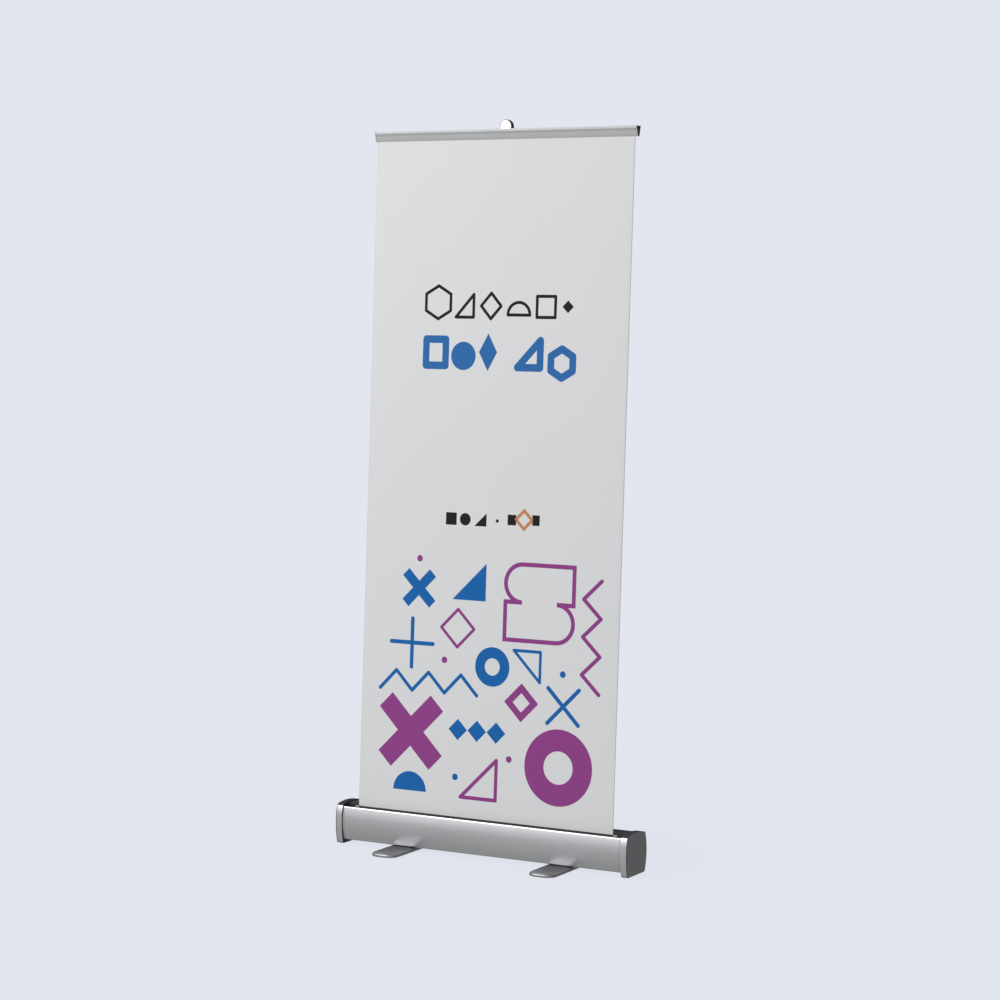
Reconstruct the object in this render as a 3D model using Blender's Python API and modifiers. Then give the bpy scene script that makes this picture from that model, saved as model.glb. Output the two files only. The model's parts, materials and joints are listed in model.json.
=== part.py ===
"""Roll-up banner stand: cassette, sprung roller, telescopic pole, clamp rail and swivel feet.

Metres, +Z up, +X to the banner's right as its reader sees it, +Y to the back.
The origin lies on the floor, below the middle of the cassette.
"""

import math

import bmesh
import bpy
from mathutils import Vector

# Running gap between pieces that lie against each other
GAP = 0.0003

# Banner: its plane leans back about the slot line
BANNER_WIDTH = 0.850
BANNER_THICKNESS = 0.0005
BANNER_LEAN = math.radians(3.52)
BANNER_TOP = 1.980
BANNER_BOTTOM = -0.056
SLOT = Vector((0, -0.028, 0.113))
LEADER_WIDTH = 0.876

# Cassette along X: the extrusion, then an end cap and a cover at each end
SHELL_HALF = 0.4643
CAP_INNER = 0.4646
CAP_OUTER = 0.4835
COVER_OUTER = 0.4855
CAP_WALL = 0.003
SHELL_BOTTOM = 0.013
SHELL_WALL = 0.0018
PORT_RADIUS = 0.0019
PORT_PAD_HALF = 0.005
FLOOR_PAD_TOP = 0.0245
PORTS = {"front": (-0.039, 0.0195), "back": (0.0500, 0.035), "top": (0.0495, 0.095)}

# Roller inside the cassette
SHAFT_RADIUS = 0.004
SHAFT_LENGTH = 0.942
ROLLER_RADIUS = 0.014
ROLLER_WALL = 0.0012
ROLLER_HALF = 0.432
ROLL_RADIUS = 0.016
SPRING_RADIUS = 0.009
SPRING_WIRE = 0.0008
SPRING_TURNS = 10
SPRING_ANCHOR_LENGTH = 0.010
BUSH_FLANGE = 0.0023
BUSH_DEPTH = 0.012
SPRING_START = -0.330
SPRING_LENGTH = 0.070

# Telescopic pole, along its own axis from the seat in the cassette
POLE_SEAT = Vector((0, 0.017, 0.018))
POLE_BEHIND_BANNER = 0.025
LOWER_TUBE = (0.0050, 0.720, 0.0105)
MIDDLE_TUBE = (0.620, 1.410, 0.0090)
UPPER_TUBE_START = 1.310
UPPER_TUBE_RADIUS = 0.0075
TUBE_WALL = 0.0012
TUBE_END_BELOW_TOP = 0.022
PLUG_HEAD = 0.0024
PLUG_TOP = 0.012
COLLAR_WALL = 0.0035
COLLAR_ABOVE = 0.006
COLLAR_BELOW = 0.032
COLLAR_EDGE = 0.0015

# Socket for the pole's foot, from the seat along the pole's axis
SOCKET_OUTER = 0.0135
SOCKET_TOP = 0.105
SOCKET_FLOOR = 0.002
SOCKET_BASE = -0.001
SOCKET_FLANGE = 0.0215
SOCKET_SCREW_X = 0.0175
SCREW_SHANK = 0.0019
PASSAGE_RADIUS = 0.014

# Clamp rail, in the banner's plane: distance up the banner and distance behind it
RAIL_TOP = 1.990
RAIL_HALF = 0.4275
RAIL_CAP_OUTER = 0.43265
JAW_PIVOT = (-0.0063, 1.9820)
JAW_BEAD = 0.0013
RAIL_PEG_IN = 0.012
RAIL_PEG_OUT = 0.002
RAIL_PEG = ((0.0026, 1.9660), (0.0064, 1.9800))

# Hook on top of the pole
HOOK_RADIUS = 0.0197
HOOK_TOP = 2.018
HOOK_FRONT = 0.0095
HOOK_BACK = 0.0237
HOOK_FOOT = RAIL_TOP + 0.0004
HOOK_STEM = ((-0.012, 0.0153, 1.9715), (0.012, 0.0335, 1.9935))
HOOK_LIP = ((-0.015, 0.0099, 1.9845), (0.015, 0.0119, 1.9935))
SPIGOT_LENGTH = 0.045
SPIGOT_IN_TUBE = 0.030

# Feet: a long pad that swivels about a bolt at its middle
FOOT_X = 0.262
FOOT_HALF_LENGTH = 0.165
FOOT_HALF_WIDTH = 0.042
FOOT_CORNER = 0.028
FOOT_BOTTOM = 0.001
FOOT_TOP = 0.012
FOOT_EDGE = 0.003
PAD_RADIUS = 0.012
PAD_OFFSET = 0.135
PAD_POCKET_TOP = 0.0028
BOLT_BORE = 0.0034
BOLT_HEAD_BORE = 0.0075
BOLT_HEAD_POCKET_TOP = 0.006
NUT_HEIGHT = 0.005

ALONG_X = (math.pi / 2, 0, math.pi / 2)
AXLE_X = (0, math.pi / 2, 0)
SIDES = (("left", -1), ("right", 1))


def mm(*values):
    """Millimetres as a vector in metres."""
    return Vector([v / 1000 for v in values])


# ---------------------------------------------------------------- scene and materials


def clear_scene():
    """Remove every object, so that only the stand is left."""
    for obj in list(bpy.data.objects):
        bpy.data.objects.remove(obj, do_unlink=True)


def new_collection(name):
    collection = bpy.data.collections.new(name)
    bpy.context.scene.collection.children.link(collection)
    return collection


def finish_material(name, colour, roughness, metallic):
    """One Principled material for one sub-part."""
    material = bpy.data.materials.new(name)
    material.use_nodes = True
    shader = material.node_tree.nodes["Principled BSDF"]
    shader.inputs["Base Color"].default_value = (*colour, 1)
    shader.inputs["Roughness"].default_value = roughness
    shader.inputs["Metallic"].default_value = metallic
    return material


FINISHES = {
    "silver": ((0.62, 0.63, 0.65), 0.32, 1.0),
    "bright": ((0.86, 0.87, 0.88), 0.20, 1.0),
    "graphite": ((0.085, 0.087, 0.095), 0.45, 0.0),
    "black": ((0.020, 0.020, 0.022), 0.55, 0.0),
    "zinc": ((0.55, 0.56, 0.58), 0.35, 1.0),
    "spring": ((0.30, 0.30, 0.32), 0.30, 1.0),
    "rubber": ((0.030, 0.030, 0.032), 0.85, 0.0),
    "print": ((0.64, 0.65, 0.66), 0.60, 0.0),
    "leader": ((0.70, 0.71, 0.72), 0.50, 0.0),
}


def dress(obj, finish):
    obj.data.materials.clear()
    obj.data.materials.append(finish_material(obj.name, *FINISHES[finish]))
    return obj


# ---------------------------------------------------------------- shape helpers


def arc(start, middle, end, steps):
    """Points on the circle through three points, both ends included."""
    a, b, c = Vector(start), Vector(middle), Vector(end)
    d = 2 * (a.x * (b.y - c.y) + b.x * (c.y - a.y) + c.x * (a.y - b.y))
    aa, bb, cc = a.length_squared, b.length_squared, c.length_squared
    centre_x = (aa * (b.y - c.y) + bb * (c.y - a.y) + cc * (a.y - b.y)) / d
    centre_y = (aa * (c.x - b.x) + bb * (a.x - c.x) + cc * (b.x - a.x)) / d
    centre = Vector((centre_x, centre_y))
    radius = (a - centre).length
    first = math.atan2(a.y - centre.y, a.x - centre.x)
    last = math.atan2(c.y - centre.y, c.x - centre.x)
    turn = 1 if (b - a).cross(c - b) > 0 else -1
    sweep = (turn * (last - first)) % (2 * math.pi) * turn
    angles = [first + sweep * i / steps for i in range(steps + 1)]
    return [centre + radius * Vector((math.cos(t), math.sin(t))) for t in angles]


def circle(centre, radius, segments):
    angles = [2 * math.pi * i / segments for i in range(segments)]
    return [Vector(centre) + radius * Vector((math.cos(t), math.sin(t))) for t in angles]


def chain(*runs):
    """Join runs of points end to end, without the points that repeat."""
    points = []
    for run in runs:
        for p in run:
            point = Vector(p)
            if not points or (point - points[-1]).length > 1e-6:
                points.append(point)
    if (points[0] - points[-1]).length < 1e-6:
        points.pop()
    return points


def signed_area(points):
    pairs = zip(points, points[1:] + points[:1])
    return sum(p.cross(q) for p, q in pairs) / 2


def inset(points, distance):
    """Move every edge of a closed outline inwards by the same distance."""
    turn = 1 if signed_area(points) > 0 else -1
    moved = []
    for before, here, after in zip(points[-1:] + points[:-1], points, points[1:] + points[:1]):
        incoming = (here - before).normalized()
        outgoing = (after - here).normalized()
        side_in = turn * Vector((-incoming.y, incoming.x))
        side_out = turn * Vector((-outgoing.y, outgoing.x))
        middle = (side_in + side_out).normalized()
        moved.append(here + middle * distance / middle.dot(side_in))
    return moved


def add_object(name, mesh, collection, location=(0, 0, 0), rotation=(0, 0, 0), parent=None):
    obj = bpy.data.objects.new(name, mesh)
    obj.location = location
    obj.rotation_euler = rotation
    obj.parent = parent
    collection.objects.link(obj)
    return obj


def extruded_mesh(name, outlines, half_length):
    """A flat outline with holes, extruded both ways, as one welded mesh."""
    curve = bpy.data.curves.new(name, "CURVE")
    curve.dimensions = "2D"
    curve.fill_mode = "BOTH"
    curve.extrude = half_length
    for outline in outlines:
        spline = curve.splines.new("POLY")
        spline.points.add(len(outline) - 1)
        for point, place in zip(spline.points, outline):
            point.co = (place[0], place[1], 0, 1)
        spline.use_cyclic_u = True
    flat = bpy.data.objects.new(name, curve)
    bpy.context.scene.collection.objects.link(flat)
    graph = bpy.context.evaluated_depsgraph_get()
    mesh = bpy.data.meshes.new_from_object(flat.evaluated_get(graph))
    bpy.data.objects.remove(flat)
    bpy.data.curves.remove(curve)
    weld(mesh)
    return mesh


def weld(mesh):
    """Join a curve's loose caps to its walls."""
    shape = bmesh.new()
    shape.from_mesh(mesh)
    bmesh.ops.remove_doubles(shape, verts=shape.verts, dist=1e-6)
    bmesh.ops.recalc_face_normals(shape, faces=shape.faces)
    shape.to_mesh(mesh)
    shape.free()


def smooth(mesh, angle=35):
    mesh.shade_smooth()
    mesh.set_sharp_from_angle(angle=math.radians(angle))


def extrude(name, outlines, x_from, x_to, collection, parent=None, location=(0, 0, 0)):
    """A section in the Y-Z plane that runs along X between two places."""
    mesh = extruded_mesh(name, outlines, abs(x_to - x_from) / 2)
    smooth(mesh)
    centre = Vector(location) + Vector(((x_from + x_to) / 2, 0, 0))
    return add_object(name, mesh, collection, centre, ALONG_X, parent)


def cylinder_mesh(name, radius, height, segments=16):
    shape = bmesh.new()
    bmesh.ops.create_cone(
        shape, cap_ends=True, segments=segments, radius1=radius, radius2=radius, depth=height
    )
    mesh = bpy.data.meshes.new(name)
    shape.to_mesh(mesh)
    shape.free()
    smooth(mesh)
    return mesh


def box_mesh(name, low, high):
    """A box between two corners, in its object's own axes."""
    low, high = Vector(low), Vector(high)
    shape = bmesh.new()
    bmesh.ops.create_cube(shape, size=1)
    bmesh.ops.scale(shape, vec=high - low, verts=shape.verts)
    bmesh.ops.translate(shape, vec=(low + high) / 2, verts=shape.verts)
    mesh = bpy.data.meshes.new(name)
    shape.to_mesh(mesh)
    shape.free()
    return mesh


def turned(name, profile, collection, segments=24, **place):
    """A turned piece: a profile of (radius, height), top to bottom down its outer side."""
    mesh = bpy.data.meshes.new(name)
    closed = min(radius for radius, _ in profile) > 0
    count = len(profile)
    edges = [(i, (i + 1) % count) for i in range(count if closed else count - 1)]
    mesh.from_pydata([(radius, 0, height) for radius, height in profile], edges, [])
    obj = add_object(name, mesh, collection, **place)
    screw = obj.modifiers.new("turn", "SCREW")
    screw.axis = "Z"
    screw.steps = segments
    screw.render_steps = segments
    screw.use_merge_vertices = True
    screw.merge_threshold = 0.00001
    screw.use_smooth_shade = True
    return obj


def tube_profile(start, end, outer, inner):
    return [(outer, end), (outer, start), (inner, start), (inner, end)]


def bevel(obj, width, segments=2, angle=40):
    edge = obj.modifiers.new("edge", "BEVEL")
    edge.width = width
    edge.segments = segments
    edge.limit_method = "ANGLE"
    edge.angle_limit = math.radians(angle)
    edge.use_clamp_overlap = True


def combine(obj, other, operation):
    cut = obj.modifiers.new(other.name, "BOOLEAN")
    cut.operation = operation
    cut.solver = "EXACT"
    cut.object = other


def tool(name, mesh, cutters, **place):
    """A hidden body that is cut out of a part or joined to it."""
    obj = add_object(name, mesh, cutters, **place)
    obj.hide_render = True
    obj.display_type = "WIRE"
    return obj


def empty(name, collection, location, rotation):
    obj = bpy.data.objects.new(name, None)
    obj.location = location
    obj.rotation_euler = rotation
    collection.objects.link(obj)
    return obj


# ---------------------------------------------------------------- sections of the cassette


def cap_outline():
    """Pillow-shaped end cap: bowed front and back, domed top, flat bottom."""
    return chain(
        arc(mm(-53.0, 115.5), mm(-55.3, 110.4), mm(-56.7, 105.5), 2),
        arc(mm(-56.7, 105.5), mm(-61.5, 60), mm(-56, 8), 8),
        arc(mm(-56, 8), mm(-53.6, 3.1), mm(-48, 1), 3),
        arc(mm(44, 1), mm(49.9, 3.4), mm(52.3, 9), 3),
        arc(mm(52.3, 9), mm(61.8, 57), mm(55.5, 109), 8),
        arc(mm(55.5, 109), mm(53.6, 113.6), mm(49, 116.1), 3),
        arc(mm(49, 116.1), mm(-2, 122.9), mm(-49.4, 118.5), 8),
        arc(mm(-49.4, 118.5), mm(-51.6, 117.4), mm(-53.0, 115.5), 3),
    )


def with_port(wall, port):
    """An inner wall with a square pad that carries a screw port."""
    y, z = port
    above = [p for p in wall if p.y > z + PORT_PAD_HALF]
    below = [p for p in wall if p.y < z - PORT_PAD_HALF]
    edge = y - PORT_PAD_HALF
    pad = [Vector((edge, z + PORT_PAD_HALF)), Vector((edge, z - PORT_PAD_HALF))]
    return above + pad + below


def floor_pad(y):
    """A pad on the cassette's floor, listed from the back to the front."""
    front, back = y - PORT_PAD_HALF, y + PORT_PAD_HALF
    low, high = SHELL_BOTTOM + SHELL_WALL, FLOOR_PAD_TOP
    return [Vector(corner) for corner in ((back, low), (back, high), (front, high), (front, low))]


def shell_outline():
    """Open C section, from the front lip under the roller to the ledge at the back."""
    outside = chain(
        arc(mm(-50, 113), mm(-58, 60), mm(-52.8, 20), 8),
        arc(mm(-52.8, 20), mm(-51, 15.2), mm(-46, 13), 3),
        arc(mm(42, 13), mm(47.9, 15.3), mm(50.2, 20), 3),
        arc(mm(50.2, 20), mm(58.3, 58), mm(53.2, 106.5), 8),
        arc(mm(53.2, 106.5), mm(51.7, 110.9), mm(47.8, 113.3), 3),
    )
    ledge = [mm(44.5, 114.2), mm(44.5, 112.0), mm(42, 112.3), mm(42, 110.8), mm(46, 110.2)]
    back = arc(mm(51.5, 105.5), mm(56.5, 58), mm(48.5, 20.5), 12)
    back = with_port(with_port(back, PORTS["top"]), PORTS["back"])
    floor = [mm(45, 14.8)] + floor_pad(PORTS["front"][0]) + [mm(-47.5, 14.8)]
    front = arc(mm(-51, 21), mm(-56.2, 60), mm(-48.3, 111.8), 8)
    lip = [mm(-48.4, 113.0), mm(-49.0, 113.5)]
    return chain(outside, ledge, back, floor, front, lip)


def cover_outline():
    """Domed strip behind the slot, with a skirt down its front edge."""
    return chain(
        [mm(-26, 116.9), mm(-25, 117.8)],
        arc(mm(-25, 117.8), mm(-2, 119.8), mm(44.2, 114.3), 10),
        arc(mm(44.2, 112.4), mm(-2, 117.8), mm(-24.2, 115.9), 10),
        [mm(-24.2, 108), mm(-26, 108)],
    )


def guide_outline():
    """L-shaped strip inside the front lip that the banner slides past."""
    return [
        mm(-47.9, 110.0),
        mm(-31.0, 110.0),
        mm(-30.2, 109.2),
        mm(-31.0, 108.4),
        mm(-46.4, 108.4),
        mm(-46.4, 98.0),
        mm(-47.9, 98.0),
    ]


# ---------------------------------------------------------------- cassette


def make_cassette(parts, cutters):
    ports = [circle(place, PORT_RADIUS, 10) for place in PORTS.values()]
    shell = extrude("cassette_shell", [shell_outline()] + ports, -SHELL_HALF, SHELL_HALF, parts)
    drill_floor(shell, cutters)
    dress(shell, "silver")
    cover = extrude("top_cover", [cover_outline()], -SHELL_HALF, SHELL_HALF, parts)
    dress(cover, "graphite")
    guide = extrude("slot_guide", [guide_outline()], -SHELL_HALF, SHELL_HALF, parts)
    dress(guide, "black")
    return cover


def drill_floor(shell, cutters):
    """Holes in the cassette's floor for the two foot bolts and the socket screws."""
    places = [(side * FOOT_X, 0, BOLT_BORE) for _, side in SIDES]
    places += [(side * SOCKET_SCREW_X, POLE_SEAT.y, SCREW_SHANK) for _, side in SIDES]
    for number, (x, y, radius) in enumerate(places):
        mesh = cylinder_mesh("floor_hole", radius, 3 * SHELL_WALL)
        place = (x, y, SHELL_BOTTOM + SHELL_WALL / 2)
        hole = tool(f"floor_hole_{number}", mesh, cutters, location=place)
        combine(shell, hole, "DIFFERENCE")


def make_end(name, side, parts, cutters):
    """End cap with its bulkhead, the cover that closes it and the screws that hold it."""
    cap = extrude(f"end_cap_{name}", [cap_outline()], side * CAP_INNER, side * CAP_OUTER, parts)
    bulkhead = CAP_INNER + CAP_WALL
    reach = (CAP_OUTER - CAP_INNER) / 2
    pocket_mesh = extruded_mesh("pocket", [inset(cap_outline(), CAP_WALL)], reach)
    middle = (side * (bulkhead + reach), 0, 0)
    pocket = tool(f"pocket_{name}", pocket_mesh, cutters, location=middle, rotation=ALONG_X)
    combine(cap, pocket, "DIFFERENCE")
    holes = [(ROLLER_CENTRE.y, ROLLER_CENTRE.z, SHAFT_RADIUS + GAP)]
    holes += [(y, z, PORT_RADIUS) for y, z in PORTS.values()]
    for number, (y, z, radius) in enumerate(holes):
        mesh = cylinder_mesh("end_hole", radius, 4 * CAP_WALL)
        place = (side * (CAP_INNER + CAP_WALL / 2), y, z)
        hole = tool(f"end_hole_{name}_{number}", mesh, cutters, location=place, rotation=AXLE_X)
        combine(cap, hole, "DIFFERENCE")
    dress(cap, "silver")
    make_end_cover(name, side, parts, cutters)
    for place_name, (y, z) in PORTS.items():
        make_cap_screw(f"cap_screw_{name}_{place_name}", side, bulkhead, y, z, parts)


def make_end_cover(name, side, parts, cutters):
    face = CAP_OUTER + GAP
    cover = extrude(f"end_cover_{name}", [cap_outline()], side * face, side * COVER_OUTER, parts)
    plug_half = 0.003
    plug_outline = inset(cap_outline(), CAP_WALL + 2 * GAP)
    plug_mesh = extruded_mesh("cover_plug", [plug_outline], plug_half)
    middle = (side * (face - plug_half + 0.001), 0, 0)
    plug = tool(f"cover_plug_{name}", plug_mesh, cutters, location=middle, rotation=ALONG_X)
    bevel(cover, 0.0006, 1, 60)
    combine(cover, plug, "UNION")
    dress(cover, "graphite")


def make_cap_screw(name, side, bulkhead, y, z, parts):
    """Pan-head screw through the bulkhead into a port of the extrusion."""
    profile = [
        (0, 0.0022),
        (0.0022, 0.0022),
        (0.0032, 0.0012),
        (0.0032, 0),
        (0.0016, 0),
        (0.0016, -0.013),
        (0, -0.0142),
    ]
    turn = (0, side * math.pi / 2, 0)
    place = (side * (bulkhead + GAP), y, z)
    dress(turned(name, profile, parts, 10, location=place, rotation=turn), "zinc")


# ---------------------------------------------------------------- roller


def in_banner_plane(up, behind):
    """A point given by its distance up the banner and its distance behind it."""
    y = SLOT.y + up * math.sin(BANNER_LEAN) + behind * math.cos(BANNER_LEAN)
    z = SLOT.z + up * math.cos(BANNER_LEAN) - behind * math.sin(BANNER_LEAN)
    return Vector((0, y, z))


ROLLER_CENTRE = in_banner_plane(BANNER_BOTTOM, ROLL_RADIUS + BANNER_THICKNESS / 2 + GAP)


def make_roller(parts):
    rod = cylinder_mesh("roller_shaft", SHAFT_RADIUS, SHAFT_LENGTH, 14)
    shaft = add_object("roller_shaft", rod, parts, ROLLER_CENTRE, AXLE_X)
    dress(shaft, "zinc")
    axle = {"location": ROLLER_CENTRE, "rotation": AXLE_X}
    bore = ROLLER_RADIUS - ROLLER_WALL
    half = BANNER_WIDTH / 2
    wall = tube_profile(-ROLLER_HALF, ROLLER_HALF, ROLLER_RADIUS, bore)
    dress(turned("roller_tube", wall, parts, **axle), "silver")
    roll = tube_profile(-half, half, ROLL_RADIUS, ROLLER_RADIUS + 2 * GAP)
    dress(turned("banner_roll", roll, parts, **axle), "print")
    for name, side in SIDES:
        make_roller_plug(name, side, bore, parts)
    make_spring(parts, bore)


def make_roller_plug(name, side, bore, parts):
    """Flanged bearing bush that carries the tube on the shaft."""
    hole, sleeve = SHAFT_RADIUS + GAP, bore - 2 * GAP
    outer, inner = ROLLER_HALF + BUSH_FLANGE, ROLLER_HALF - BUSH_DEPTH
    profile = [
        (ROLLER_RADIUS, outer),
        (ROLLER_RADIUS, ROLLER_HALF + GAP),
        (sleeve, ROLLER_HALF + GAP),
        (sleeve, inner),
        (hole, inner),
        (hole, outer),
    ]
    turn = (0, side * math.pi / 2, 0)
    plug = turned(
        f"roller_bush_{name}", profile, parts, 20, location=ROLLER_CENTRE, rotation=turn
    )
    dress(plug, "black")


def make_spring(parts, bore):
    """Torsion spring round the shaft and the anchor that pins one end of it."""
    curve = bpy.data.curves.new("torsion_spring", "CURVE")
    curve.dimensions = "3D"
    curve.bevel_depth = SPRING_WIRE
    curve.bevel_resolution = 2
    curve.use_fill_caps = True
    steps_a_turn = 10
    count = SPRING_TURNS * steps_a_turn
    spline = curve.splines.new("POLY")
    spline.points.add(count)
    for i, point in enumerate(spline.points):
        angle = 2 * math.pi * i / steps_a_turn
        x = SPRING_START + SPRING_LENGTH * i / count
        point.co = (x, SPRING_RADIUS * math.cos(angle), SPRING_RADIUS * math.sin(angle), 1)
    spring = add_object("torsion_spring", curve, parts, ROLLER_CENTRE)
    dress(spring, "spring")
    end = SPRING_START - SPRING_WIRE - GAP
    start = end - SPRING_ANCHOR_LENGTH
    anchor = tube_profile(start, end, bore - 0.001, SHAFT_RADIUS + GAP)
    ring = turned(
        "spring_anchor", anchor, parts, 20, location=ROLLER_CENTRE, rotation=AXLE_X
    )
    dress(ring, "black")


# ---------------------------------------------------------------- pole


POLE_TOP = in_banner_plane(RAIL_TOP, POLE_BEHIND_BANNER)
POLE_LENGTH = (POLE_TOP - POLE_SEAT).length
POLE_TILT = math.atan2(POLE_TOP.y - POLE_SEAT.y, POLE_TOP.z - POLE_SEAT.z)


def make_socket(axis, cover, parts, cutters):
    """Cup that holds the pole's foot, screwed to the cassette's floor."""
    bore = LOWER_TUBE[2] + 0.0004
    profile = [
        (0, SOCKET_FLOOR),
        (bore, SOCKET_FLOOR),
        (bore, SOCKET_TOP),
        (SOCKET_OUTER, SOCKET_TOP),
        (SOCKET_OUTER, SOCKET_FLOOR),
        (SOCKET_FLANGE, SOCKET_FLOOR),
        (SOCKET_FLANGE, SOCKET_BASE),
        (0, SOCKET_BASE),
    ]
    socket = turned("pole_socket", profile, parts, 24, parent=axis)
    for name, side in SIDES:
        mesh = cylinder_mesh("socket_hole", SCREW_SHANK, 0.010, 10)
        place = (side * SOCKET_SCREW_X, 0, 0)
        hole = tool(f"socket_hole_{name}", mesh, cutters, location=place, parent=axis)
        combine(socket, hole, "DIFFERENCE")
        make_socket_screw(name, side, parts)
    dress(socket, "black")
    passage = cylinder_mesh("pole_passage", PASSAGE_RADIUS, 0.060, 24)
    hole = tool("pole_passage", passage, cutters, location=(0, 0, SOCKET_TOP), parent=axis)
    combine(cover, hole, "DIFFERENCE")


def make_socket_screw(name, side, parts):
    """Countersunk screw from below the cassette's floor into the socket's flange."""
    profile = [
        (0, 0.0070),
        (0.0015, 0.0070),
        (0.0015, 0),
        (0.0030, 0),
        (0.0030, -0.0012),
        (0, -0.0012),
    ]
    place = (side * SOCKET_SCREW_X, POLE_SEAT.y, SHELL_BOTTOM - GAP)
    dress(turned(f"socket_screw_{name}", profile, parts, 10, location=place), "zinc")


def make_tube(name, start, end, radius, axis, parts):
    profile = tube_profile(start, end, radius, radius - TUBE_WALL)
    dress(turned(name, profile, parts, 24, parent=axis), "silver")


def make_collar(name, tube_end, tube_radius, inner_radius, axis, parts):
    """Twist lock on a tube's mouth: it grips the tube and the next one inside it."""
    over = tube_radius + GAP
    through = inner_radius + GAP + 0.0001
    outer = tube_radius + COLLAR_WALL
    profile = [
        (outer - COLLAR_EDGE, COLLAR_ABOVE),
        (outer, COLLAR_ABOVE - COLLAR_EDGE),
        (outer, COLLAR_EDGE - COLLAR_BELOW),
        (outer - COLLAR_EDGE, -COLLAR_BELOW),
        (over, -COLLAR_BELOW),
        (over, GAP),
        (through, GAP),
        (through, COLLAR_ABOVE),
    ]
    place = {"location": (0, 0, tube_end), "parent": axis}
    dress(turned(name, profile, parts, 24, **place), "graphite")


def make_foot_plug(axis, parts):
    """Plug that closes the pole's foot, with a head as wide as the tube."""
    start, _, tube_radius = LOWER_TUBE
    neck = tube_radius - TUBE_WALL - 2 * GAP
    head_top = start - GAP
    profile = [
        (0, PLUG_TOP),
        (neck, PLUG_TOP),
        (neck, head_top),
        (tube_radius, head_top),
        (tube_radius, PLUG_HEAD),
        (0, PLUG_HEAD),
    ]
    dress(turned("pole_foot_plug", profile, parts, 24, parent=axis), "black")


def make_pole(axis, plane, cover, parts, cutters):
    make_socket(axis, cover, parts, cutters)
    make_foot_plug(axis, parts)
    make_tube("pole_lower_tube", *LOWER_TUBE, axis, parts)
    make_tube("pole_middle_tube", *MIDDLE_TUBE, axis, parts)
    upper_end = POLE_LENGTH - TUBE_END_BELOW_TOP
    make_tube("pole_upper_tube", UPPER_TUBE_START, upper_end, UPPER_TUBE_RADIUS, axis, parts)
    make_collar("lock_collar_lower", LOWER_TUBE[1], LOWER_TUBE[2], MIDDLE_TUBE[2], axis, parts)
    make_collar("lock_collar_upper", MIDDLE_TUBE[1], MIDDLE_TUBE[2], UPPER_TUBE_RADIUS, axis, parts)
    make_hook(axis, plane, upper_end, parts, cutters)


def hook_outline():
    """Round-topped plate seen from the front: across the banner and up it."""
    centre = HOOK_TOP - HOOK_RADIUS
    side = HOOK_RADIUS
    top = arc((side, centre), (0, HOOK_TOP), (-side, centre), 14)
    return chain(top, [(-side, HOOK_FOOT), (side, HOOK_FOOT)])


def make_hook(axis, plane, tube_end, parts, cutters):
    """Hook that plugs into the pole and drops into the groove of the clamp rail."""
    mesh = extruded_mesh("pole_hook", [hook_outline()], (HOOK_BACK - HOOK_FRONT) / 2)
    smooth(mesh)
    place = (0, (HOOK_FRONT + HOOK_BACK) / 2, 0)
    hook = add_object("pole_hook", mesh, parts, place, (math.pi / 2, 0, 0), plane)
    stem = box_mesh("hook_stem", *HOOK_STEM)
    combine(hook, tool("hook_stem", stem, cutters, parent=plane), "UNION")
    lip = box_mesh("hook_lip", *HOOK_LIP)
    combine(hook, tool("hook_lip", lip, cutters, parent=plane), "UNION")
    radius = UPPER_TUBE_RADIUS - TUBE_WALL - GAP
    spigot = cylinder_mesh("hook_spigot", radius, SPIGOT_LENGTH, 24)
    centre = (0, 0, tube_end - SPIGOT_IN_TUBE + SPIGOT_LENGTH / 2)
    combine(hook, tool("hook_spigot", spigot, cutters, location=centre, parent=axis), "UNION")
    dress(hook, "bright")


# ---------------------------------------------------------------- clamp rail and banner


def rail_back_outline():
    """Fixed half of the rail: roof, nose, hinge rib, web, and the groove for the hook."""
    return [
        mm(-9.2, 1990.0),
        mm(9.0, 1990.0),
        mm(9.0, 1988.4),
        mm(2.2, 1988.4),
        mm(2.2, 1962.4),
        mm(7.3, 1962.4),
        mm(13.2, 1988.0),
        mm(13.2, 1990.0),
        mm(14.8, 1990.0),
        mm(14.8, 1988.0),
        mm(8.5, 1961.0),
        mm(0.7, 1961.0),
        mm(0.7, 1988.4),
        mm(-3.4, 1988.4),
        mm(-3.4, 1981.4),
        mm(-4.4, 1981.4),
        mm(-4.4, 1988.4),
        mm(-8.5, 1988.4),
        mm(-8.5, 1981.9),
        mm(-9.1, 1981.9),
        mm(-9.35, 1982.4),
        mm(-9.9, 1989.3),
    ]


def rail_jaw_outline():
    """Hinged half of the rail, from the bead at its top to the lip that grips the banner."""
    y, z = JAW_PIVOT
    bead = arc((y + JAW_BEAD, z), (y, z + JAW_BEAD), (y - JAW_BEAD, z), 8)
    face = [mm(-5.1, 1975.8), mm(-3.0, 1968.0), mm(-2.2, 1964.6), mm(-0.9, 1961.0)]
    inner = [mm(-0.55, 1961.0), mm(-0.55, 1966.5), mm(-3.2, 1976.0)]
    points = chain(bead, face, inner)
    return [p - Vector(JAW_PIVOT) for p in points]


def rail_cap_outline():
    return [
        mm(-9.9, 1990.0),
        mm(14.8, 1990.0),
        mm(14.8, 1988.0),
        mm(8.6, 1960.6),
        mm(-0.9, 1960.6),
        mm(-2.4, 1964.6),
        mm(-5.2, 1975.8),
        mm(-7.6, 1981.9),
        mm(-9.1, 1981.9),
        mm(-9.35, 1982.4),
    ]


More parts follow.
